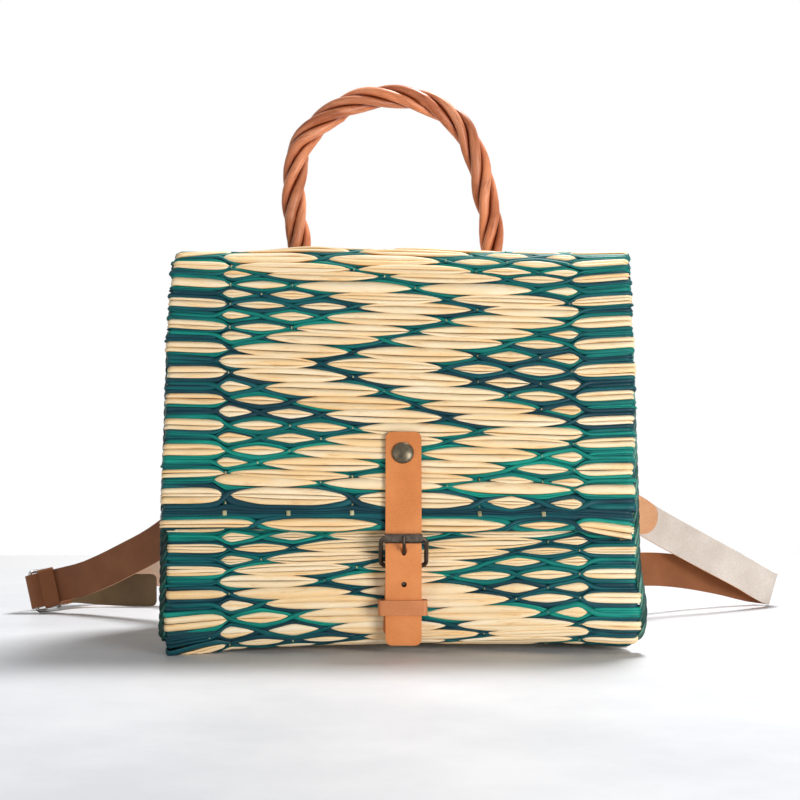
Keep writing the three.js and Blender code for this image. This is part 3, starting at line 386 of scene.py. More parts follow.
def lay_tubes(name, centre, side, up, half_width, half_height, shade, material, sides=6):
    """centre, side and up are (tubes, rings, 3); half sizes are (tubes, rings); shade one value a tube."""
    count, rings = half_width.shape
    template, ring, turn = tube_template(rings, sides)
    bm = bmesh.new()
    for _ in range(count):
        bm.from_mesh(template)
    mesh = bpy.data.meshes.new(name)
    bm.to_mesh(mesh)
    bm.free()
    bpy.data.meshes.remove(template)
    cos, sin = np.cos(turn)[None, :, None], np.sin(turn)[None, :, None]
    place = (
        centre[:, ring]
        + side[:, ring] * half_width[:, ring][..., None] * cos
        + up[:, ring] * half_height[:, ring][..., None] * sin
    ) * MM
    mesh.vertices.foreach_set("co", place.astype(np.float32).ravel())
    steps = np.linalg.norm(np.diff(centre, axis=1), axis=2)
    length = np.concatenate([np.zeros((count, 1)), np.cumsum(steps, axis=1)], axis=1) * MM
    around = (turn / (2 * math.pi) + 0.25) % 1.0
    corner = np.zeros(len(mesh.loops), int)
    mesh.loops.foreach_get("vertex_index", corner)
    per_tube = len(ring)
    tube, spot = corner // per_tube, corner % per_tube
    uv = np.stack([length[tube, ring[spot]], around[spot]], axis=1)
    mesh.uv_layers.new(name="along").data.foreach_set("uv", uv.astype(np.float32).ravel())
    tint = mesh.attributes.new("shade", "FLOAT", "POINT")
    tint.data.foreach_set("value", np.repeat(shade, per_tube).astype(np.float32))
    mesh.shade_smooth()
    mesh.materials.append(material)
    mesh.update()
    made = bpy.data.objects.new(name, mesh)
    bpy.context.scene.collection.objects.link(made)
    return made


# A mat's outer line in the Y-Z plane, walked by its length. rise lifts the reeds by their place,
# and floor is the lowest that they may lie
class Outline:
    def __init__(self, points, rise=None, floor=None):
        self.rise, self.floor = rise, floor
        given = np.array(points, float)
        run = np.concatenate([[0], np.cumsum(np.linalg.norm(np.diff(given, axis=0), axis=1))])
        self.length = run[-1]
        self.s = np.linspace(0, self.length, int(self.length) + 1)
        self.y = np.interp(self.s, run, given[:, 0])
        self.z = np.interp(self.s, run, given[:, 1])
        ty, tz = np.gradient(self.y), np.gradient(self.z)
        kernel = np.ones(5) / 5
        ty = np.convolve(np.pad(ty, 2, mode="edge"), kernel, mode="valid")
        tz = np.convolve(np.pad(tz, 2, mode="edge"), kernel, mode="valid")
        size = np.hypot(ty, tz)
        self.ty, self.tz = ty / size, tz / size

    def place(self, u, v, depth):
        """Points at u along the reeds, v down the line and a depth, with the reeds' way and the way out."""
        ty, tz = np.interp(v, self.s, self.ty), np.interp(v, self.s, self.tz)
        beyond = v - np.clip(v, 0, self.length)
        y = np.interp(v, self.s, self.y) + beyond * ty - depth * tz
        z = np.interp(v, self.s, self.z) + beyond * tz + depth * ty
        if self.rise:
            z = z + self.rise(u, v)
        if self.floor is not None:
            z = np.maximum(z, self.floor)
        zero = np.zeros_like(ty)
        along = np.stack([zero + 1, zero, zero], axis=-1)
        out = np.stack([zero, tz, -ty], axis=-1)
        return np.stack([u, y, z], axis=-1), along, out


# A side panel: reeds run front to back between the two walls
class Panel:
    def __init__(self, side, x, levels, front, back, half):
        self.side, self.x, self.half = side, x, half
        self.levels, self.front, self.back = levels, front, back

    def place(self, u, v, depth):
        front, back = np.interp(v, self.levels, self.front), np.interp(v, self.levels, self.back)
        share = (u / self.half + 1) / 2
        y = front + (back - front) * (share if self.side > 0 else 1 - share)
        zero = np.zeros_like(y)
        along = np.stack([zero, zero + self.side, zero], axis=-1)
        out = np.stack([zero + self.side, zero, zero], axis=-1)
        return np.stack([self.side * (self.x - depth), y, v + zero], axis=-1), along, out


# The weave's draft: long floats of four warps climb and fall over ten rows, and
# shorter floats of two warps fill the row out to both sides. Tie -1 and tie WARPS
# stand for the lines where the reeds' free ends begin
WARPS = 12
LONG_FLOAT, SHORT_FLOAT, DRAFT_ROWS = 4, 2, 10  # floats in warps, and the rows after which it repeats


def zigzag_ties(row, low_row):
    step = (row - low_row) % DRAFT_ROWS
    first = min(step, DRAFT_ROWS - step) - 1
    last = first + 2 * LONG_FLOAT
    ties = {first, first + LONG_FLOAT, last}
    ties |= set(range(first - SHORT_FLOAT, -2, -SHORT_FLOAT))
    ties |= set(range(last + SHORT_FLOAT, WARPS + 1, SHORT_FLOAT))
    return sorted(t for t in ties if -1 <= t <= WARPS)


# A reed is full this many warps from a tie, and at a free end this many millimetres beyond its
# last one. The end then tapers slowly, and the higher the rounding, the sharper a float's middle
TIE_REACH, END_REACH, END_TAPER, ROUNDING = 1.5, 5.0, 260, 18


def reach(steps, fullness):
    """Share of its full width that a reed has at a distance from a tie, in warp steps."""
    return 1 - np.clip(1 - np.clip(steps, 0, None) / TIE_REACH, 0, None) ** fullness


def straw_cover(x, ties, warp_x):
    """Share of the row's height that the straw covers at x, and how far it is hidden."""
    at = np.interp(x, warp_x, np.arange(-1, WARPS + 1))
    cover, hidden = np.zeros_like(x), np.zeros_like(x)
    for a, b in zip(ties, ties[1:]):
        hidden_end = ties[0] == -1 if a + b < WARPS else ties[-1] == WARPS
        if b - a > SHORT_FLOAT:
            slack, fullness, peak = rng.uniform(-0.04, 0.08, 2), 1.8, 1.18
        elif hidden_end:
            slack, fullness, peak = rng.uniform(0.04, 0.20, 2), 1.15, rng.uniform(1.30, 1.60)
        else:
            slack, fullness, peak = rng.uniform(-0.05, 0.06, 2), 1.7, rng.uniform(0.90, 1.05)
        left, right = reach(at - a - slack[0], fullness), reach(b - at - slack[1], fullness)
        share = -np.log(np.exp(-ROUNDING * left) + np.exp(-ROUNDING * right)) / ROUNDING
        cover = np.where((at >= a) & (at < b), np.clip(peak * share, 0, None), cover)
    for outside, near, shown in (
        (x < warp_x[ties[0] + 1], warp_x[ties[0] + 1] - x, ties[0] > -1),
        (x >= warp_x[ties[-1] + 1], x - warp_x[ties[-1] + 1], ties[-1] < WARPS),
    ):
        if shown:
            full = rng.uniform(0.86, 1.12)
            end = full * (1 - np.exp(-near / END_REACH)) * (1 - near / END_TAPER)
            cover = np.where(outside, end, cover)
        else:
            hidden = np.where(outside, np.clip(near / END_REACH, 0, 1), hidden)
    return cover, hidden


def smooth_noise(count, x, spread, size):
    """Slow random waves along x, one line for each of count reeds."""
    knots = np.linspace(x.min(), x.max(), max(int((x.max() - x.min()) / spread), 3))
    values = rng.normal(0, size, (count, len(knots)))
    fine = np.array([np.interp(x, knots, row) for row in values])
    kernel = np.hanning(7)
    kernel /= kernel.sum()
    return np.array([np.convolve(np.pad(row, 3, mode="edge"), kernel, mode="valid") for row in fine])


# Millimetres, with depths from the mat's outer face inwards: how far in an end folds, how deep a full
# reed lies and how much deeper it goes where it is thin or passes behind, and the reeds under them all
FOLD = 2.3
STRAW_DEPTH, STRAW_SUNK, STRAW_HIDDEN = 1.1, 2.1, 1.6
TEAL_DEPTH, TEAL_SUNK, TEAL_FULL = 1.35, 1.7, 1.6
BED_DEPTH = 3.1
CROSSING_LENGTH = 3.0
INNER_DEPTH, INNER_STEP, INNER_WAVE = 5.4, 9, 39.5
LEVEL = {"v": [0, 1], **{key: [0, 0] for key in ("left", "right", "back_left", "back_right",
                                                 "more_left", "more_right")}}


def weave(name, surface, half, rows, warp_x, body, nodes, step=2.7, fringe=LEVEL):
    """Lays straw and teal reeds on a surface. rows: (v at the left, v at the right, ties or None).

    fringe says by v how far the reeds' free ends rise, fall back and stand out."""
    warp_x = np.array(warp_x, float)
    x = np.linspace(-(half - FOLD), half - FOLD, int(2 * (half - FOLD) / step))
    share = np.clip((x - warp_x[1]) / (warp_x[WARPS] - warp_x[1]), 0, 1)
    free_left, free_right = np.clip(warp_x[1] - x, 0, None), np.clip(x - warp_x[WARPS], 0, None)
    level = [(left + right) / 2 for left, right, _ in rows]
    at_row = {key: np.interp(level, fringe["v"], fringe[key])[:, None] for key in fringe if key != "v"}
    centres = np.array([left + (right - left) * share for left, right, _ in rows])
    rise_left = at_row["left"] * free_left / free_left.max()
    rise_right = at_row["right"] * free_right / free_right.max()
    centres -= rise_left + rise_right
    centres += smooth_noise(len(rows), x, 30, 0.22)
    pitch = np.gradient(centres, axis=0)
    back = at_row["back_left"] * free_left + at_row["back_right"] * free_right
    width, hidden, crossing = np.zeros_like(centres), np.zeros_like(centres), np.ones_like(centres)
    for i, (_, _, ties) in enumerate(rows):
        crossing[i] *= rng.choice([-1, 1])
        if ties is not None:
            cover, hidden[i] = straw_cover(x, ties, warp_x)
            width[i] = cover * pitch[i]
            for tie in ties:
                crossing[i] *= np.tanh((x - warp_x[tie + 1]) / CROSSING_LENGTH)
    above = np.vstack([2 * centres[0] - centres[1], centres[:-1]])
    below = np.vstack([centres[1:], 2 * centres[-1] - centres[-2]])
    width_above, width_below = np.vstack([width[0], width[:-1]]), np.vstack([width[1:], width[-1]])
    room_up = np.maximum((centres - above - (width + width_above) / 2) / 2, 0.5)
    room_low = np.maximum((below - centres - (width + width_below) / 2) / 2, 0.5)

    def bundle(i, centre, size, depth, reeds, tone, overlap=0.52):
        """The reeds that share a strip of row i, of a given size, side by side."""
        weight = rng.uniform(0.7, 1.3, (reeds, 1)) + smooth_noise(reeds, x, 50, 0.12)
        weight = weight / weight.sum(axis=0)
        edge = np.cumsum(weight, axis=0) - weight / 2 - 0.5
        for j in range(reeds):
            half_width = np.maximum(size * weight[j] * overlap, 0.25)
            yield {
                "v": centre + edge[j] * size + smooth_noise(1, x, 22, 0.10)[0],
                "depth": depth + back[i] + 2.0 * edge[j] ** 2 + abs(rng.normal(0, 0.15)),
                "half_width": half_width,
                "half_height": np.minimum(1.2, half_width * 0.9 + 0.3),
                "left": half + at_row["more_left"][i, 0] + rng.normal(0, 0.35),
                "right": half + at_row["more_right"][i, 0] + rng.normal(0, 0.35),
                "shade": float(np.clip(tone + rng.normal(0, 0.16), 0, 1)),
            }

    straw, teal = [], []
    for i, (_, _, ties) in enumerate(rows):
        ragged = rng.normal(0, 0.8, 2)
        if ties is not None:
            risen = np.clip(width[i] / (0.45 * pitch[i]), 0, 1) ** 0.8
            depth = STRAW_DEPTH + STRAW_SUNK * (1 - risen) + STRAW_HIDDEN * hidden[i]
            reeds = int(rng.choice([1, 2, 3], p=[0.12, 0.56, 0.32]))
            for lay in bundle(i, centres[i], np.maximum(width[i], 0.6), depth, reeds, 0.6):
                lay["left"] = lay["left"] + ragged[0] if ties[0] > -1 else 6 - warp_x[0]
                lay["right"] = lay["right"] + ragged[1] if ties[-1] < WARPS else 6 + warp_x[-1]
                straw.append(lay)
        row_tone = rng.choice([0.12, 0.38, 0.62, 0.85], p=[0.30, 0.28, 0.27, 0.15])
        for way in (-1, 1):
            s = way * crossing[i]
            up = (1 - s) * (width[i] + room_up[i]) / 4
            down = (1 + s) * (width[i] + room_low[i]) / 4
            centre = centres[i] + down - up
            size = (room_up[i] * (1 - s) + room_low[i] * (1 + s)) / 2
            meet = 1 - s * s
            lift = 0.75 if way > 0 else -0.30
            depth = TEAL_DEPTH + TEAL_SUNK * (1 - np.clip(size / TEAL_FULL, 0, 1)) + lift * meet
            depth = depth + smooth_noise(1, x, 35, 0.18)[0]
            tone = rng.choice([row_tone, 0.2, 0.6], p=[0.7, 0.15, 0.15])
            for lay in bundle(i, centre, size, depth, int(rng.choice([1, 2], p=[0.6, 0.4])), tone, 0.72):
                lay["left"] += rng.normal(0, 0.7)
                lay["right"] += rng.normal(0, 0.7)
                teal.append(lay)
        teal += bundle(i, centres[i], pitch[i], BED_DEPTH, 1, rng.uniform(0.0, 0.4), 0.56)

    def build(piece, lays, material):
        """Lays the reeds as tubes whose two ends turn back round the mat's edge."""
        turn = np.array([-1, -1, -0.75, -0.5, -0.25]) * math.pi
        angle = np.concatenate([turn, np.zeros(len(x)), -turn[::-1]])
        grid = {k: np.array([lay[k] for lay in lays]) for k in lays[0]}
        left, right = grid["left"][:, None] - FOLD, grid["right"][:, None] - FOLD

        def spread(values):
            ends = np.repeat(values[:, [0, -1]], len(turn), axis=1)
            return np.concatenate([ends[:, :len(turn)], values, ends[:, len(turn):]], axis=1)

        full, from_left, from_right = half - FOLD, -warp_x[0], warp_x[-1]
        u_left = -from_left - (-x - from_left) * (left - from_left) / (full - from_left)
        u_right = from_right + (x - from_right) * (right - from_right) / (full - from_right)
        u_face = np.where(x < -from_left, u_left, np.where(x > from_right, u_right, x))
        turned = FOLD * np.abs(np.sin(turn))
        turned[0] = -4
        u = np.concatenate([-(left + turned[None, :]), u_face, right + turned[None, ::-1]], axis=1)
        v, depth = spread(grid["v"]), spread(grid["depth"])
        depth = depth + FOLD * (1 - np.cos(angle))[None, :]
        centre, along, out = surface.place(u, v, depth)
        cos, sin = np.cos(angle)[None, :, None], np.sin(angle)[None, :, None]
        made = lay_tubes(piece, centre, np.cross(out, along), out * cos + along * sin,
                         spread(grid["half_width"]), spread(grid["half_height"]), grid["shade"], material)
        belong(made, body, nodes)

    build(name + "_straw_reeds", straw, STRAW)
    build(name + "_teal_reeds", teal, TEAL)

    # Inner face: broader reeds of a plain weave
    inner_x = np.linspace(-(half - 4), half - 4, int(2 * half / INNER_STEP))
    inner = {"straw": [], "teal": []}
    for i in range(len(rows) - 1):
        for kind, offset in (("straw", 0.0), ("teal", 0.5)):
            left = rows[i][0] * (1 - offset) + rows[i + 1][0] * offset
            right = rows[i][1] * (1 - offset) + rows[i + 1][1] * offset
            share_in = np.clip((inner_x - warp_x[1]) / (warp_x[WARPS] - warp_x[1]), -0.25, 1.25)
            wave = 0.5 + 0.5 * np.cos(2 * math.pi * (inner_x / INNER_WAVE + (i % 2) / 2 + offset))
            size = 4.6 - 1.9 * wave
            for j in (-0.25, 0.25):
                inner[kind].append((
                    left + (right - left) * share_in + j * size,
                    INNER_DEPTH + 0.6 * wave,
                    size * 0.27,
                    float(np.clip(rng.normal(0.5, 0.25), 0, 1)),
                ))
    for kind, material in (("straw", STRAW), ("teal", TEAL)):
        v, depth, wide, shade = (np.array([lay[k] for lay in inner[kind]]) for k in range(4))
        u = np.tile(inner_x, (len(v), 1))
        centre, along, out = surface.place(u, v, depth)
        made = lay_tubes(f"{name}_inner_{kind}", centre, np.cross(along, out), -out, wide,
                         np.full_like(wide, 1.0), shade, material)
        belong(made, body, nodes)

    # Warp twines: they show where they cross the straw, and broadly over the teal band
    lines = []
    for k in range(WARPS):
        xk = warp_x[k + 1]
        column = int(np.argmin(np.abs(x - xk)))
        v, depth, wide = [], [], []
        for i, (_, _, ties) in enumerate(rows):
            band = ties is None and k % 2 == 0
            over = band or (ties is not None and k in ties)
            span, thick = (2.4, 1.5) if band else (1.1, 0.5)
            top = 0.2 if band else rng.choice([0.35, 1.3], p=[0.45, 0.55])
            v += list(centres[i, column] + span * np.array([-1, -0.5, 0.5, 1]))
            depth += [3.0, top, top, 3.0] if over else [3.9] * 4
            wide += [thick] * 4
        lines.append((xk, v, depth, wide))
    v, depth, wide = (np.array([line[k] for line in lines]) for k in (1, 2, 3))
    u = np.repeat(np.array([line[0] for line in lines])[:, None], v.shape[1], axis=1)
    u = u + rng.normal(0, 0.15, u.shape)
    centre, along, out = surface.place(u, v, depth)
    made = lay_tubes(name + "_warp_twines", centre, along, out, wide, np.full_like(u, 0.6),
                     rng.uniform(0, 1, len(lines)), WARP_TWINE)
    belong(made, body, nodes)


# Outlines, the same as the solids'
def arc_points(cy, cz, radius, start, end, count):
    turns = np.linspace(math.radians(start), math.radians(end), count)
    return [(cy + radius * math.cos(t), cz + radius * math.sin(t)) for t in turns]


def smooth_line(points):
    """A smooth line through the points, 12 steps to each stretch."""
    p = np.array([points[0], *points, points[-1]], float)
    line = []
    for i in range(1, len(p) - 2):
        for t in np.linspace(0, 1, 12, endpoint=False):
            a, b, c, d = p[i - 1], p[i], p[i + 1], p[i + 2]
            line.append(0.5 * (2 * b + (c - a) * t + (2 * a - 5 * b + 4 * c - d) * t ** 2
                               + (3 * b - a - 3 * c + d) * t ** 3))
    line.append(p[-2])
    return [tuple(q) for q in line]


def top_rise(u, v):
    """The mat swells up over the handle's left foot."""
    swell = 3.2 * np.exp(-((u + 60) / 27) ** 2) + 2.2 * np.exp(-((u - 5) / 40) ** 2)
    return swell * np.clip(1 - (v - 38) / 25, 0, 1) ** 2


BOW_HEIGHT = 4.7


def bottom_bow(u, fall):
    """The bottom edge bows up between the corners; fall says how much of it a place takes."""
    bow = np.interp(u, [-150, -112, -60, 0, 112, 138], [0, 0.2, 0.7, 1, 1, 0.45])
    return BOW_HEIGHT * bow * np.clip(fall, 0, 1)


BACK_TOP_V = 332
LID_LINE = Outline([(15.85, 258.3), *arc_points(-19.1, 236.3, 22, 90, 166, 12), (-81, 81)], top_rise)
FRONT_LINE = Outline([
    *smooth_line([(-40.5, 205), (-53.5, 150), (-64.8, 105), (-70, 70), (-72.3, 38), (-72, 14)]),
    *arc_points(-58, 14, 14, 180, 270, 8)[1:],
    (-40, 0),
], lambda u, v: bottom_bow(u, (v - 170) / 40), floor=1.0)
BACK_LINE = Outline([
    (40, 0),
    *arc_points(58, 14, 14, -90, 0, 8)[:-1],
    *smooth_line([(72, 14), (72.3, 50), (70, 110), (65.5, 165), (60, 205), (51.1, 233.3),
                  (41, 247.5), (29.5, 255.1), (16.15, 257.8)]),
], lambda u, v: top_rise(u, BACK_TOP_V - v))
BASE_LINE = Outline([(-39.7, 0), (39.7, 0)], lambda u, v: bottom_bow(u, 1 - v / 60))


def warp_places(first, last):
    """The warps' places, with the line beyond each outer warp where the reeds' free ends begin."""
    return [first - 8.2, *np.linspace(first, last, WARPS), last + 8.2]


LID_WARPS = warp_places(-109.5, 109.5)
FRONT_WARPS = warp_places(-107.5, 113.0)


def place_rows(left, right, pitch, low_row, length, special=None):
    """Measured rows, numbered from 1, with evenly spaced ones before and after them.

    special gives by number the ties of a row that leaves the draft, or None for a row of teal alone."""
    def row(number, v_left, v_right):
        return v_left, v_right, (special or {}).get(number, zigzag_ties(number, low_row))

    rows = [row(number, a, b) for number, (a, b) in enumerate(zip(left, right), 1)]
    v_left, v_right, number = left[0] - pitch, right[0] - pitch, 0
    while max(v_left, v_right) > 1:
        rows.insert(0, row(number, v_left, v_right))
        v_left, v_right, number = v_left - pitch, v_right - pitch, number - 1
    v_left, v_right, number = left[-1] + pitch, right[-1] + pitch, len(left) + 1
    while min(v_left, v_right) < length - 2:
        rows.append(row(number, v_left, v_right))
        v_left, v_right, number = v_left + pitch, v_right + pitch, number + 1
    return rows


# The rows' places at the outer warps on the left and on the right, read off the photo
LID_LEFT = [36.8, 48.9, 58.0, 63.8, 70.7, 77.1, 84.2, 91.3, 99.3, 105.4, 114.0, 122.3, 130.2, 139.2,
            147.7, 155.5, 164.1, 172.4, 180.5, 188.6, 195.3, 199.4, 209.4, 220.7, 227.4]
LID_RIGHT = [49.5, 56.8, 62.8, 67.9, 75.7, 83.2, 89.6, 97.7, 105.1, 112.0, 121.0, 129.6, 138.2, 146.4,
             154.6, 162.1, 169.9, 176.6, 185.0, 193.4, 201.3, 206.8, 215.1, 221.7, 228.9]
lid_rows = place_rows(LID_LEFT, LID_RIGHT, 7.4, 2, LID_LINE.length,
                      {22: [-1, 3, 7, 11], 24: None, 25: [1, 5, 9, 11]})
LID_FRINGE = {
    "v": [0, 36, 43, 53, 61, 110, 150, 212, 227, 233],
    "left": [0, -6.0, -8.5, -2.0, 2.2, 1.8, 1.2, 0.0, 0.0, 0.0],
    "right": [0, 2.5, 2.5, 2.5, 2.8, 2.6, 2.2, 0.8, -3.5, -3.5],
    "back_left": [0, 0.0, 0.0, 0.0, 0.0, 0.03, 0.05, 0.05, 0.04, 0.04],
    "back_right": [0, 0.0, 0.0, 0.0, 0.0, 0.03, 0.05, 0.05, 0.04, 0.04],
    "more_left": [-2.5, -2.5, -2.5, -2.0, -1.0, 0, 0, 0, 0, 0],
    "more_right": [0, 0, 0, 0, 0, 0, 0, -2.5, -5.0, -5.5],
}

FRONT_LEFT = [128.3, 134.6, 141.8, 149.0, 155.8, 163.0, 170.2, 177.8, 186.6, 195.4, 205.2]
FRONT_RIGHT = [123.2, 130.2, 136.8, 143.0, 149.3, 157.7, 165.9, 173.0, 182.8, 191.6, 197.4]
front_rows = place_rows(FRONT_LEFT, FRONT_RIGHT, 7.3, 6, FRONT_LINE.length)
FRONT_FRINGE = {
    "v": [0, 120, 165, 190, 205, 217, 240],
    "left": [0, 0, -0.5, -2.5, -5.0, -4.0, 0],
    "right": [0, 0, 0, 0, 0, 0, 0],
    "back_left": [0.04, 0.04, 0.02, -0.14, -0.26, -0.26, -0.10],
    "back_right": [0.04, 0.04, 0.04, 0.04, 0.04, 0.03, 0.02],
    "more_left": [0, 0, 0, 0, -1.5, -3, -6],
    "more_right": [0, 0.5, 2.5, 4.0, 2.5, 0, -3],
}

LID_HALF, BODY_HALF = 149, 147
weave("lid", LID_LINE, LID_HALF, lid_rows, LID_WARPS, "lid", ["lid_mat"], fringe=LID_FRINGE)
weave("front", FRONT_LINE, BODY_HALF, front_rows, FRONT_WARPS, "basket", ["front_mat"], fringe=FRONT_FRINGE)


def even_rows(length, pitch, low_row):
    """Rows at the same distance, as many as come nearest to the pitch."""
    count = int(round(length / pitch))
    places = (np.arange(count) + 0.5) * length / count
    return [(v, v, zigzag_ties(i, low_row)) for i, v in enumerate(places)]


weave("back", BACK_LINE, BODY_HALF, even_rows(BACK_LINE.length, 7.7, 1), LID_WARPS, "basket", ["back_mat"],
      step=4.0)
weave("base", BASE_LINE, BODY_HALF, even_rows(BASE_LINE.length, 7.9, 4), LID_WARPS, "basket", ["base_mat"],
      step=5.0)

# Side panels: the same reeds, cut to the space between the two walls
SIDES = ((-1, "left"), (1, "right"))
PANEL_HALF, PANEL_X, WALL = 62, 144.5, 8.6
levels = np.linspace(9, 203, 60)
front_inner = np.interp(levels, FRONT_LINE.z[::-1], FRONT_LINE.y[::-1]) + WALL
back_inner = np.interp(levels, BACK_LINE.z, BACK_LINE.y) - WALL
panel_warps = [-56, *np.linspace(-50, 50, WARPS), 56]
panel_rows = [(z, z, zigzag_ties(i, 3)) for i, z in enumerate(np.linspace(13, 200, 25))]
for side, word in SIDES:
    panel = Panel(side, PANEL_X, levels, front_inner, back_inner, PANEL_HALF)
    weave(word + "_panel", panel, PANEL_HALF, panel_rows, panel_warps, "basket", [word + "_side_panel"],
          step=3.4)


# Twisted cords along the seams
def frames_along(points):
    """Directions across each path, carried along without twist."""
    along = np.gradient(points, axis=1)
    along /= np.linalg.norm(along, axis=2, keepdims=True)
    side = np.zeros_like(points)
    first = np.where(np.abs(along[:, 0, :1]) < 0.8, [[1.0, 0, 0]], [[0, 1.0, 0]])
    for i in range(points.shape[1]):
        given = first if i == 0 else side[:, i - 1]
        given = given - along[:, i] * np.sum(given * along[:, i], axis=1, keepdims=True)
        side[:, i] = given / np.linalg.norm(given, axis=1, keepdims=True)
    return side, np.cross(along, side)


def resample(points, count):
    p = np.array(points, float)
    run = np.concatenate([[0], np.cumsum(np.linalg.norm(np.diff(p, axis=0), axis=1))])
    s = np.linspace(0, run[-1], count)
    return np.stack([np.interp(s, run, p[:, k]) for k in range(3)], axis=1), run[-1]


CORD_STEP, CORD_CORE, CORD_DEPTH, CORD_X = 1.6, 1.35, 4.6, 149.2


def twisted(name, path, strands, thickness, pitch, material, node_name):
    """A cord of strands laid round each other along the path."""
    length = resample(path, 50)[1]
    line, length = resample(path, int(length / CORD_STEP))
    side, up = frames_along(line[None])
    turn = np.linspace(0, 2 * math.pi * length / pitch, len(line))
    centres = []
    for k in range(strands):
        phase = turn + 2 * math.pi * k / strands
        away = side[0] * np.cos(phase)[:, None] + up[0] * np.sin(phase)[:, None]
        centres.append(line + CORD_CORE * away)
    centres = np.array(centres)
    side, up = frames_along(centres)
    radius = thickness * (1 + smooth_noise(strands, np.arange(len(line)) * CORD_STEP, 20, 0.05))
    made = lay_tubes(name, centres, side, up, radius, radius, np.linspace(0.2, 0.8, strands), material)
    belong(made, "basket", [node_name])


# The left cord is tight and its twine painted dark as shade, the right one looser and its twine painted
# light as if lit, and both turn in at the bottom
for side, word in SIDES:
    for line, piece, low, high in ((FRONT_LINE, "front", 0, FRONT_LINE.length - 20),
                                   (BACK_LINE, "back", 20, 232)):
        v = np.linspace(low, high, 120)
        places, _, _ = line.place(np.zeros_like(v), v, np.full_like(v, CORD_DEPTH))
        height = places[:, 2]
        out_to = CORD_X - 8.5 * np.clip(1 - height / 16, 0, 1) ** 2
        if side > 0:
            out_to = out_to + 4.4 * np.exp(-((height - 26) / 22) ** 2)
        places[:, 0] = side * out_to
        if side < 0 and piece == "front":
            places[:, 1] -= 8.0 * np.exp(-((height - 6) / 17) ** 2)
        lay = (3, 1.45, 17, SHADED_TWINE) if side < 0 else (4, 1.3, 30, LIT_TWINE)
        twisted(f"{piece}_{word}_cord_strands", places, *lay, f"{piece}_{word}_cord")


# Handle: four willow rods laid round each other along the arch
def round_curve(points):
    """The curve of the solids' arch: knots spaced by the root of the distance, 24 steps to each stretch."""
    p = [np.array(q, float) for q in points]
    p = [2 * p[0] - p[1], *p, 2 * p[-1] - p[-2]]
    line = []
    for i in range(1, len(p) - 2):
        a, b, c, d = p[i - 1:i + 3]
        ta = np.linalg.norm(b - a) ** 0.5
        tb = np.linalg.norm(c - b) ** 0.5
        tc = np.linalg.norm(d - c) ** 0.5
        m1 = ((b - a) / ta - (c - a) / (ta + tb) + (c - b) / tb) * tb
        m2 = ((c - b) / tb - (d - b) / (tb + tc) + (d - c) / tc) * tb
        for t in np.linspace(0, 1, 24, endpoint=False):
            line.append(b + m1 * t + (-3 * b + 3 * c - 2 * m1 - m2) * t ** 2
                        + (2 * b - 2 * c + m1 + m2) * t ** 3)
    line.append(p[-2])
    return line


MAT, LEG_GAP, BUNDLE_RADIUS = 8.0, 0.6, 8.13


def leg_y(z):
    """The handle's legs stand just inside the back wall."""
    at = np.interp([z], BACK_LINE.z, BACK_LINE.s)
    places, _, _ = BACK_LINE.place(np.zeros(1), at, np.full(1, MAT))
    return places[0, 1] - LEG_GAP - BUNDLE_RADIUS


RODS, ROD_RADIUS, ROD_CORE = 4, 3.52, 4.93
PITCH_LEFT, PITCH_RIGHT = 80, 125
LEG_LEFT_X, LEG_RIGHT_X = -70, 63.5
ARCH = [(-69.5, 35, 236), (-69.5, 31, 266.8), (-73.2, 31, 291.6), (-73.2, 31, 313.6), (-69, 31, 335.5),
        (-60.4, 31, 347), (-43.2, 31, 360.8), (-26.9, 31, 367.8), (-9, 31, 369.8), (10.8, 31, 368),
        (28.7, 31, 360.8), (43.4, 31, 348), (50, 31, 334.7), (55.6, 31, 320), (59.2, 31, 301.4),
        (62.6, 31, 286.8), (63.5, 31, 264.8), (63.5, 35, 236)]
arch = round_curve([
    *((LEG_LEFT_X, leg_y(z), z) for z in (150, 170, 198)),
    *ARCH,
    *((LEG_RIGHT_X, leg_y(z), z) for z in (198, 170, 150)),
])
arch_line, arch_length = resample(arch, 420)
arch_along = np.gradient(arch_line, axis=0)
arch_along /= np.linalg.norm(arch_along, axis=1, keepdims=True)
y_axis = np.array([0.0, 1.0, 0.0])
across = y_axis - arch_along * (arch_along @ y_axis)[:, None]
across /= np.linalg.norm(across, axis=1, keepdims=True)
outward = np.cross(across, arch_along)
part_way = np.linspace(0, 1, len(arch_line))
turns = arch_length * part_way * (1 / PITCH_LEFT + (1 / PITCH_RIGHT - 1 / PITCH_LEFT) * part_way / 2)
run = part_way * arch_length
for rod in range(RODS):
    phase = 2 * math.pi * (turns + rod / RODS)
    away = outward * np.cos(phase)[:, None] + across * np.sin(phase)[:, None]
    centre = arch_line + away * (ROD_CORE + smooth_noise(1, run, 45, 0.16)[0])[:, None]
    radius = ROD_RADIUS * (1 + smooth_noise(1, run, 35, 0.05))
    for knot in rng.uniform(20, arch_length - 20, 4):
        radius = radius + 0.55 * np.exp(-((run - knot) / 2.4) ** 2)
    rod_along = np.gradient(centre, axis=0)
    rod_along /= np.linalg.norm(rod_along, axis=1, keepdims=True)
    side = np.cross(away, rod_along)
    side /= np.linalg.norm(side, axis=1, keepdims=True)
    made = lay_tubes(f"handle_willow_{rod + 1}", centre[None], side[None], np.cross(rod_along, side)[None],
                     radius, radius, np.array([rod / (RODS - 1)]), WILLOW, 14)
    belong(made, "basket", [f"handle_rod_{rod + 1}"])


# Pieces made from a copy of their solid: merged, edges rounded, sides told apart
SHARP_EDGE = math.radians(35)


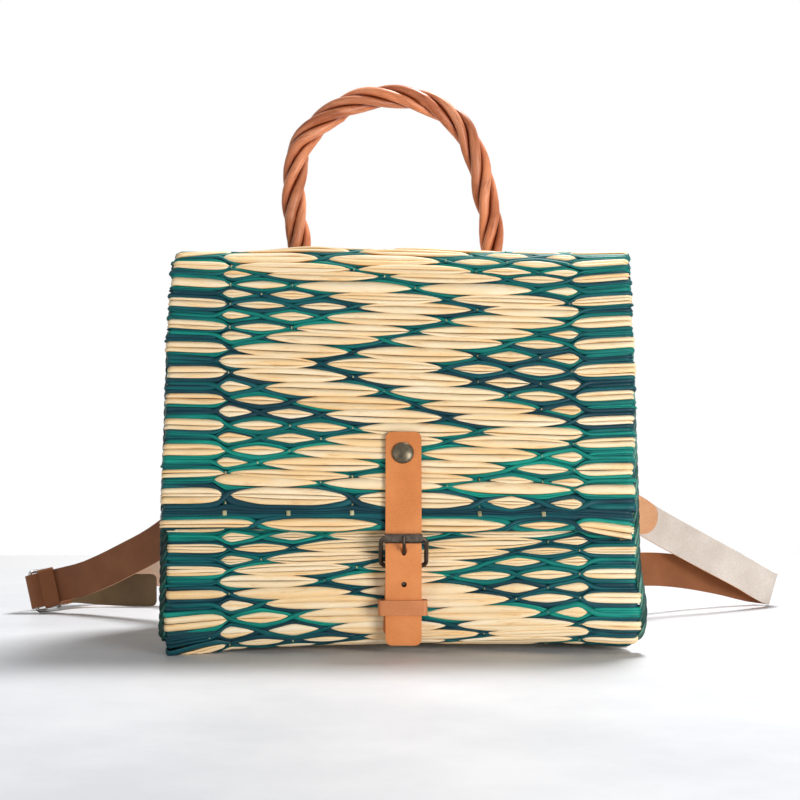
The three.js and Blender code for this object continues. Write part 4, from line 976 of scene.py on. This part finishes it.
def from_solid(name, solid, body, materials, bevel=0.4, segments=2, side_at=None, end_box=None):
    """side_at is a place on the side with material 0 and the way it looks there. end_box is the low and
    the high corner of a box and the side whose faces in it have material 3."""
    bm = bmesh.new()
    bm.from_mesh(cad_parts[solid].data)
    bmesh.ops.remove_doubles(bm, verts=bm.verts, dist=1e-6)
    bmesh.ops.dissolve_limit(bm, angle_limit=math.radians(0.4), verts=bm.verts, edges=bm.edges)
    bmesh.ops.recalc_face_normals(bm, faces=bm.faces)
    if side_at is not None:
        mark_sides(bm, Vector(side_at[0]) * MM, Vector(side_at[1]))
    if end_box is not None:
        low, high, side = end_box
        for face in bm.faces:
            middle = face.calc_center_median() / MM
            if face.material_index == side and all(a <= m <= b for a, m, b in zip(low, middle, high)):
                face.material_index = 3
    sharp = [e for e in bm.edges if len(e.link_faces) == 2 and e.calc_face_angle() > SHARP_EDGE]
    if bevel:
        bmesh.ops.bevel(bm, geom=sharp, offset=bevel * MM, offset_type="OFFSET", segments=segments,
                        profile=0.5, affect="EDGES", material=-1, clamp_overlap=True)
    mesh = bpy.data.meshes.new(name)
    bm.to_mesh(mesh)
    bm.free()
    for material in materials:
        mesh.materials.append(material)
    mesh.shade_smooth()
    made = bpy.data.objects.new(name, mesh)
    bpy.context.scene.collection.objects.link(made)
    weighted = made.modifiers.new("even_shading", "WEIGHTED_NORMAL")
    weighted.keep_sharp = True
    belong(made, body, [solid])


def side_faces(bm, seed, looks):
    """The face nearest the seed that looks that way, and all that follow on without a sharp turn."""
    facing = [f for f in bm.faces if f.normal.dot(looks) > 0.5]
    start = min(facing, key=lambda f: (f.calc_center_median() - seed).length)
    reached, border = {start}, [start]
    while border:
        face = border.pop()
        for edge in face.edges:
            for other in edge.link_faces:
                if other not in reached and other.normal.dot(face.normal) > 0.45:
                    reached.add(other)
                    border.append(other)
    return reached


def mark_sides(bm, seed, looks):
    """Material 0 on the side that looks that way at the seed, 1 on the other side, 2 on the cut edges."""
    for face in bm.faces:
        face.material_index = 2
    for index, way in ((1, -looks), (0, looks)):
        for face in side_faces(bm, seed, way):
            face.material_index = index


from_solid("closure_strap_leather", "closure_strap", "lid", [TAN, FLESH, TAN_EDGE], 0.45,
           side_at=((2.2, -92, 60), (0, -1, 0)))
from_solid("buckle_tab_leather", "buckle_tab", "basket", [TAN])
from_solid("keeper_leather_loop", "keeper_loop", "basket", [KEEPER], 0.35)
for strap, looks, side_at, end_box in (
    ("upper_strap_left", [BROWN, FLESH, STRAP_EDGE], ((-203.7, 112, 41.3), (0.4, -0.9, 0)), None),
    ("lower_strap_left", [LIT_FLESH, BROWN, DARK_EDGE, OLIVE], ((-191, 173.4, 27), (-0.46, -0.89, 0)),
     ((-264, 150, -10), (-170, 168.5, 60), 1)),
    ("upper_strap_right", [BROWN, FLESH, STRAP_EDGE], ((46, 70, 188), (0, 1, 0)), None),
    ("lower_strap_right", [BROWN, FLESH, STRAP_EDGE, KEEPER], ((184, 124, 33), (0.4, -0.9, 0)),
     ((140, 80, 50), (192, 107.2, 95), 0)),
):
    from_solid(strap + "_leather", strap, "basket", looks, side_at=side_at,
               end_box=end_box)
for _, word in SIDES:
    from_solid(f"strap_keeper_{word}_leather", f"strap_keeper_{word}", "basket",
               [BROWN], 0.3)
    from_solid(f"strap_ring_{word}_wire", f"strap_ring_{word}", "basket", [STEEL], 0)
from_solid("buckle_frame_wire", "buckle_frame", "buckle", [DARK_METAL], 0)
from_solid("buckle_sleeve_metal", "buckle_sleeve", "buckle", [DARK_METAL], 0.3)
from_solid("buckle_prong_wire", "buckle_prong", "prong", [DARK_METAL], 0)
from_solid("closure_rivet_cap", "closure_rivet", "lid", [BRASS], 0.4, 3)
for riveted in ("tab", "upper_strap_left", "lower_strap_left", "upper_strap_right", "lower_strap_right"):
    for number in (1, 2):
        rivet = f"{riveted}_rivet_{number}"
        from_solid(rivet + "_cap", rivet, "basket", [BRASS], 0.3)
for _, word in SIDES:
    from_solid(f"handle_lashing_{word}_reed", f"handle_lashing_{word}", "basket", [WARP_TWINE], 0.3)


# Stage: a pale table, a white room and soft light
WHITE_FROM, WHITE_TO = 0.16, 0.56
ROOM_GLOW = 0.17
LAMP_AIM = Vector((0, 0, 0.13))
LAMPS = (
    ("key", (1.10, -1.45, 0.20), 0.7, 27.0),
    ("fill", (-1.3, -1.4, 0.22), 0.8, 5.0),
    ("top", (0.30, 0.36, 1.25), 0.32, 19.0),
)


def make_table():
    material, tree, shader = new_material("pale_table", (0.78, 0.79, 0.82), 0.5)
    place = node(tree, "ShaderNodeTexCoord")
    cloud = node(tree, "ShaderNodeTexNoise", Scale=5.0, Detail=6.0, Roughness=0.62)
    tree.links.new(place.outputs["Object"], cloud.inputs["Vector"])
    tone = ramp(tree, cloud.outputs["Fac"], [(0.35, (0.72, 0.735, 0.77)), (0.6, (0.84, 0.85, 0.875))])
    apart = node(tree, "ShaderNodeSeparateXYZ")
    tree.links.new(place.outputs["Object"], apart.inputs["Vector"])
    far = node(tree, "ShaderNodeMapRange")
    far.inputs["From Min"].default_value = WHITE_FROM
    far.inputs["From Max"].default_value = WHITE_TO
    tree.links.new(apart.outputs["Y"], far.inputs["Value"])
    tree.links.new(mix(tree, "MIX", far.outputs["Result"], tone, (0.97, 0.97, 0.97)),
                   shader.inputs["Base Color"])
    bm = bmesh.new()
    bmesh.ops.create_grid(bm, x_segments=1, y_segments=1, size=1)
    bmesh.ops.scale(bm, vec=(2.5, 1.0, 1), verts=bm.verts)
    bmesh.ops.translate(bm, vec=(0, -0.429, -0.0004), verts=bm.verts)
    mesh = bpy.data.meshes.new("table")
    bm.to_mesh(mesh)
    bm.free()
    mesh.materials.append(material)
    table = bpy.data.objects.new("table", mesh)
    bpy.context.scene.collection.objects.link(table)
    table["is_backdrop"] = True


def make_room():
    """White where it is seen or mirrored, and a faint glow on everything else."""
    world = bpy.data.worlds.new("white_room")
    bpy.context.scene.world = world
    world.use_nodes = True
    tree = world.node_tree
    back = tree.nodes["Background"]
    back.inputs["Color"].default_value = (1, 1, 1, 1)
    path = node(tree, "ShaderNodeLightPath")
    seen = math_node(tree, "MAXIMUM", path.outputs["Is Camera Ray"], path.outputs["Is Glossy Ray"])
    seen = math_node(tree, "MAXIMUM", seen, path.outputs["Is Transmission Ray"])
    strength = node(tree, "ShaderNodeMapRange")
    strength.inputs["To Min"].default_value = ROOM_GLOW
    strength.inputs["To Max"].default_value = 1.0
    tree.links.new(seen, strength.inputs["Value"])
    tree.links.new(strength.outputs["Result"], back.inputs["Strength"])


def make_lamps():
    for name, place_at, size, energy in LAMPS:
        light = bpy.data.lights.new(name, "AREA")
        light.size = size
        light.energy = energy
        lamp = bpy.data.objects.new(name, light)
        lamp.location = place_at
        lamp.rotation_mode = "QUATERNION"
        lamp.rotation_quaternion = (LAMP_AIM - Vector(place_at)).to_track_quat("-Z", "Y")
        bpy.context.scene.collection.objects.link(lamp)


make_table()
make_room()
make_lamps()
bpy.context.scene.view_settings.view_transform = "Standard"

low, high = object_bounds()
{"cad": [list(cad_low), list(cad_high)], "visual": [list(low), list(high)]}
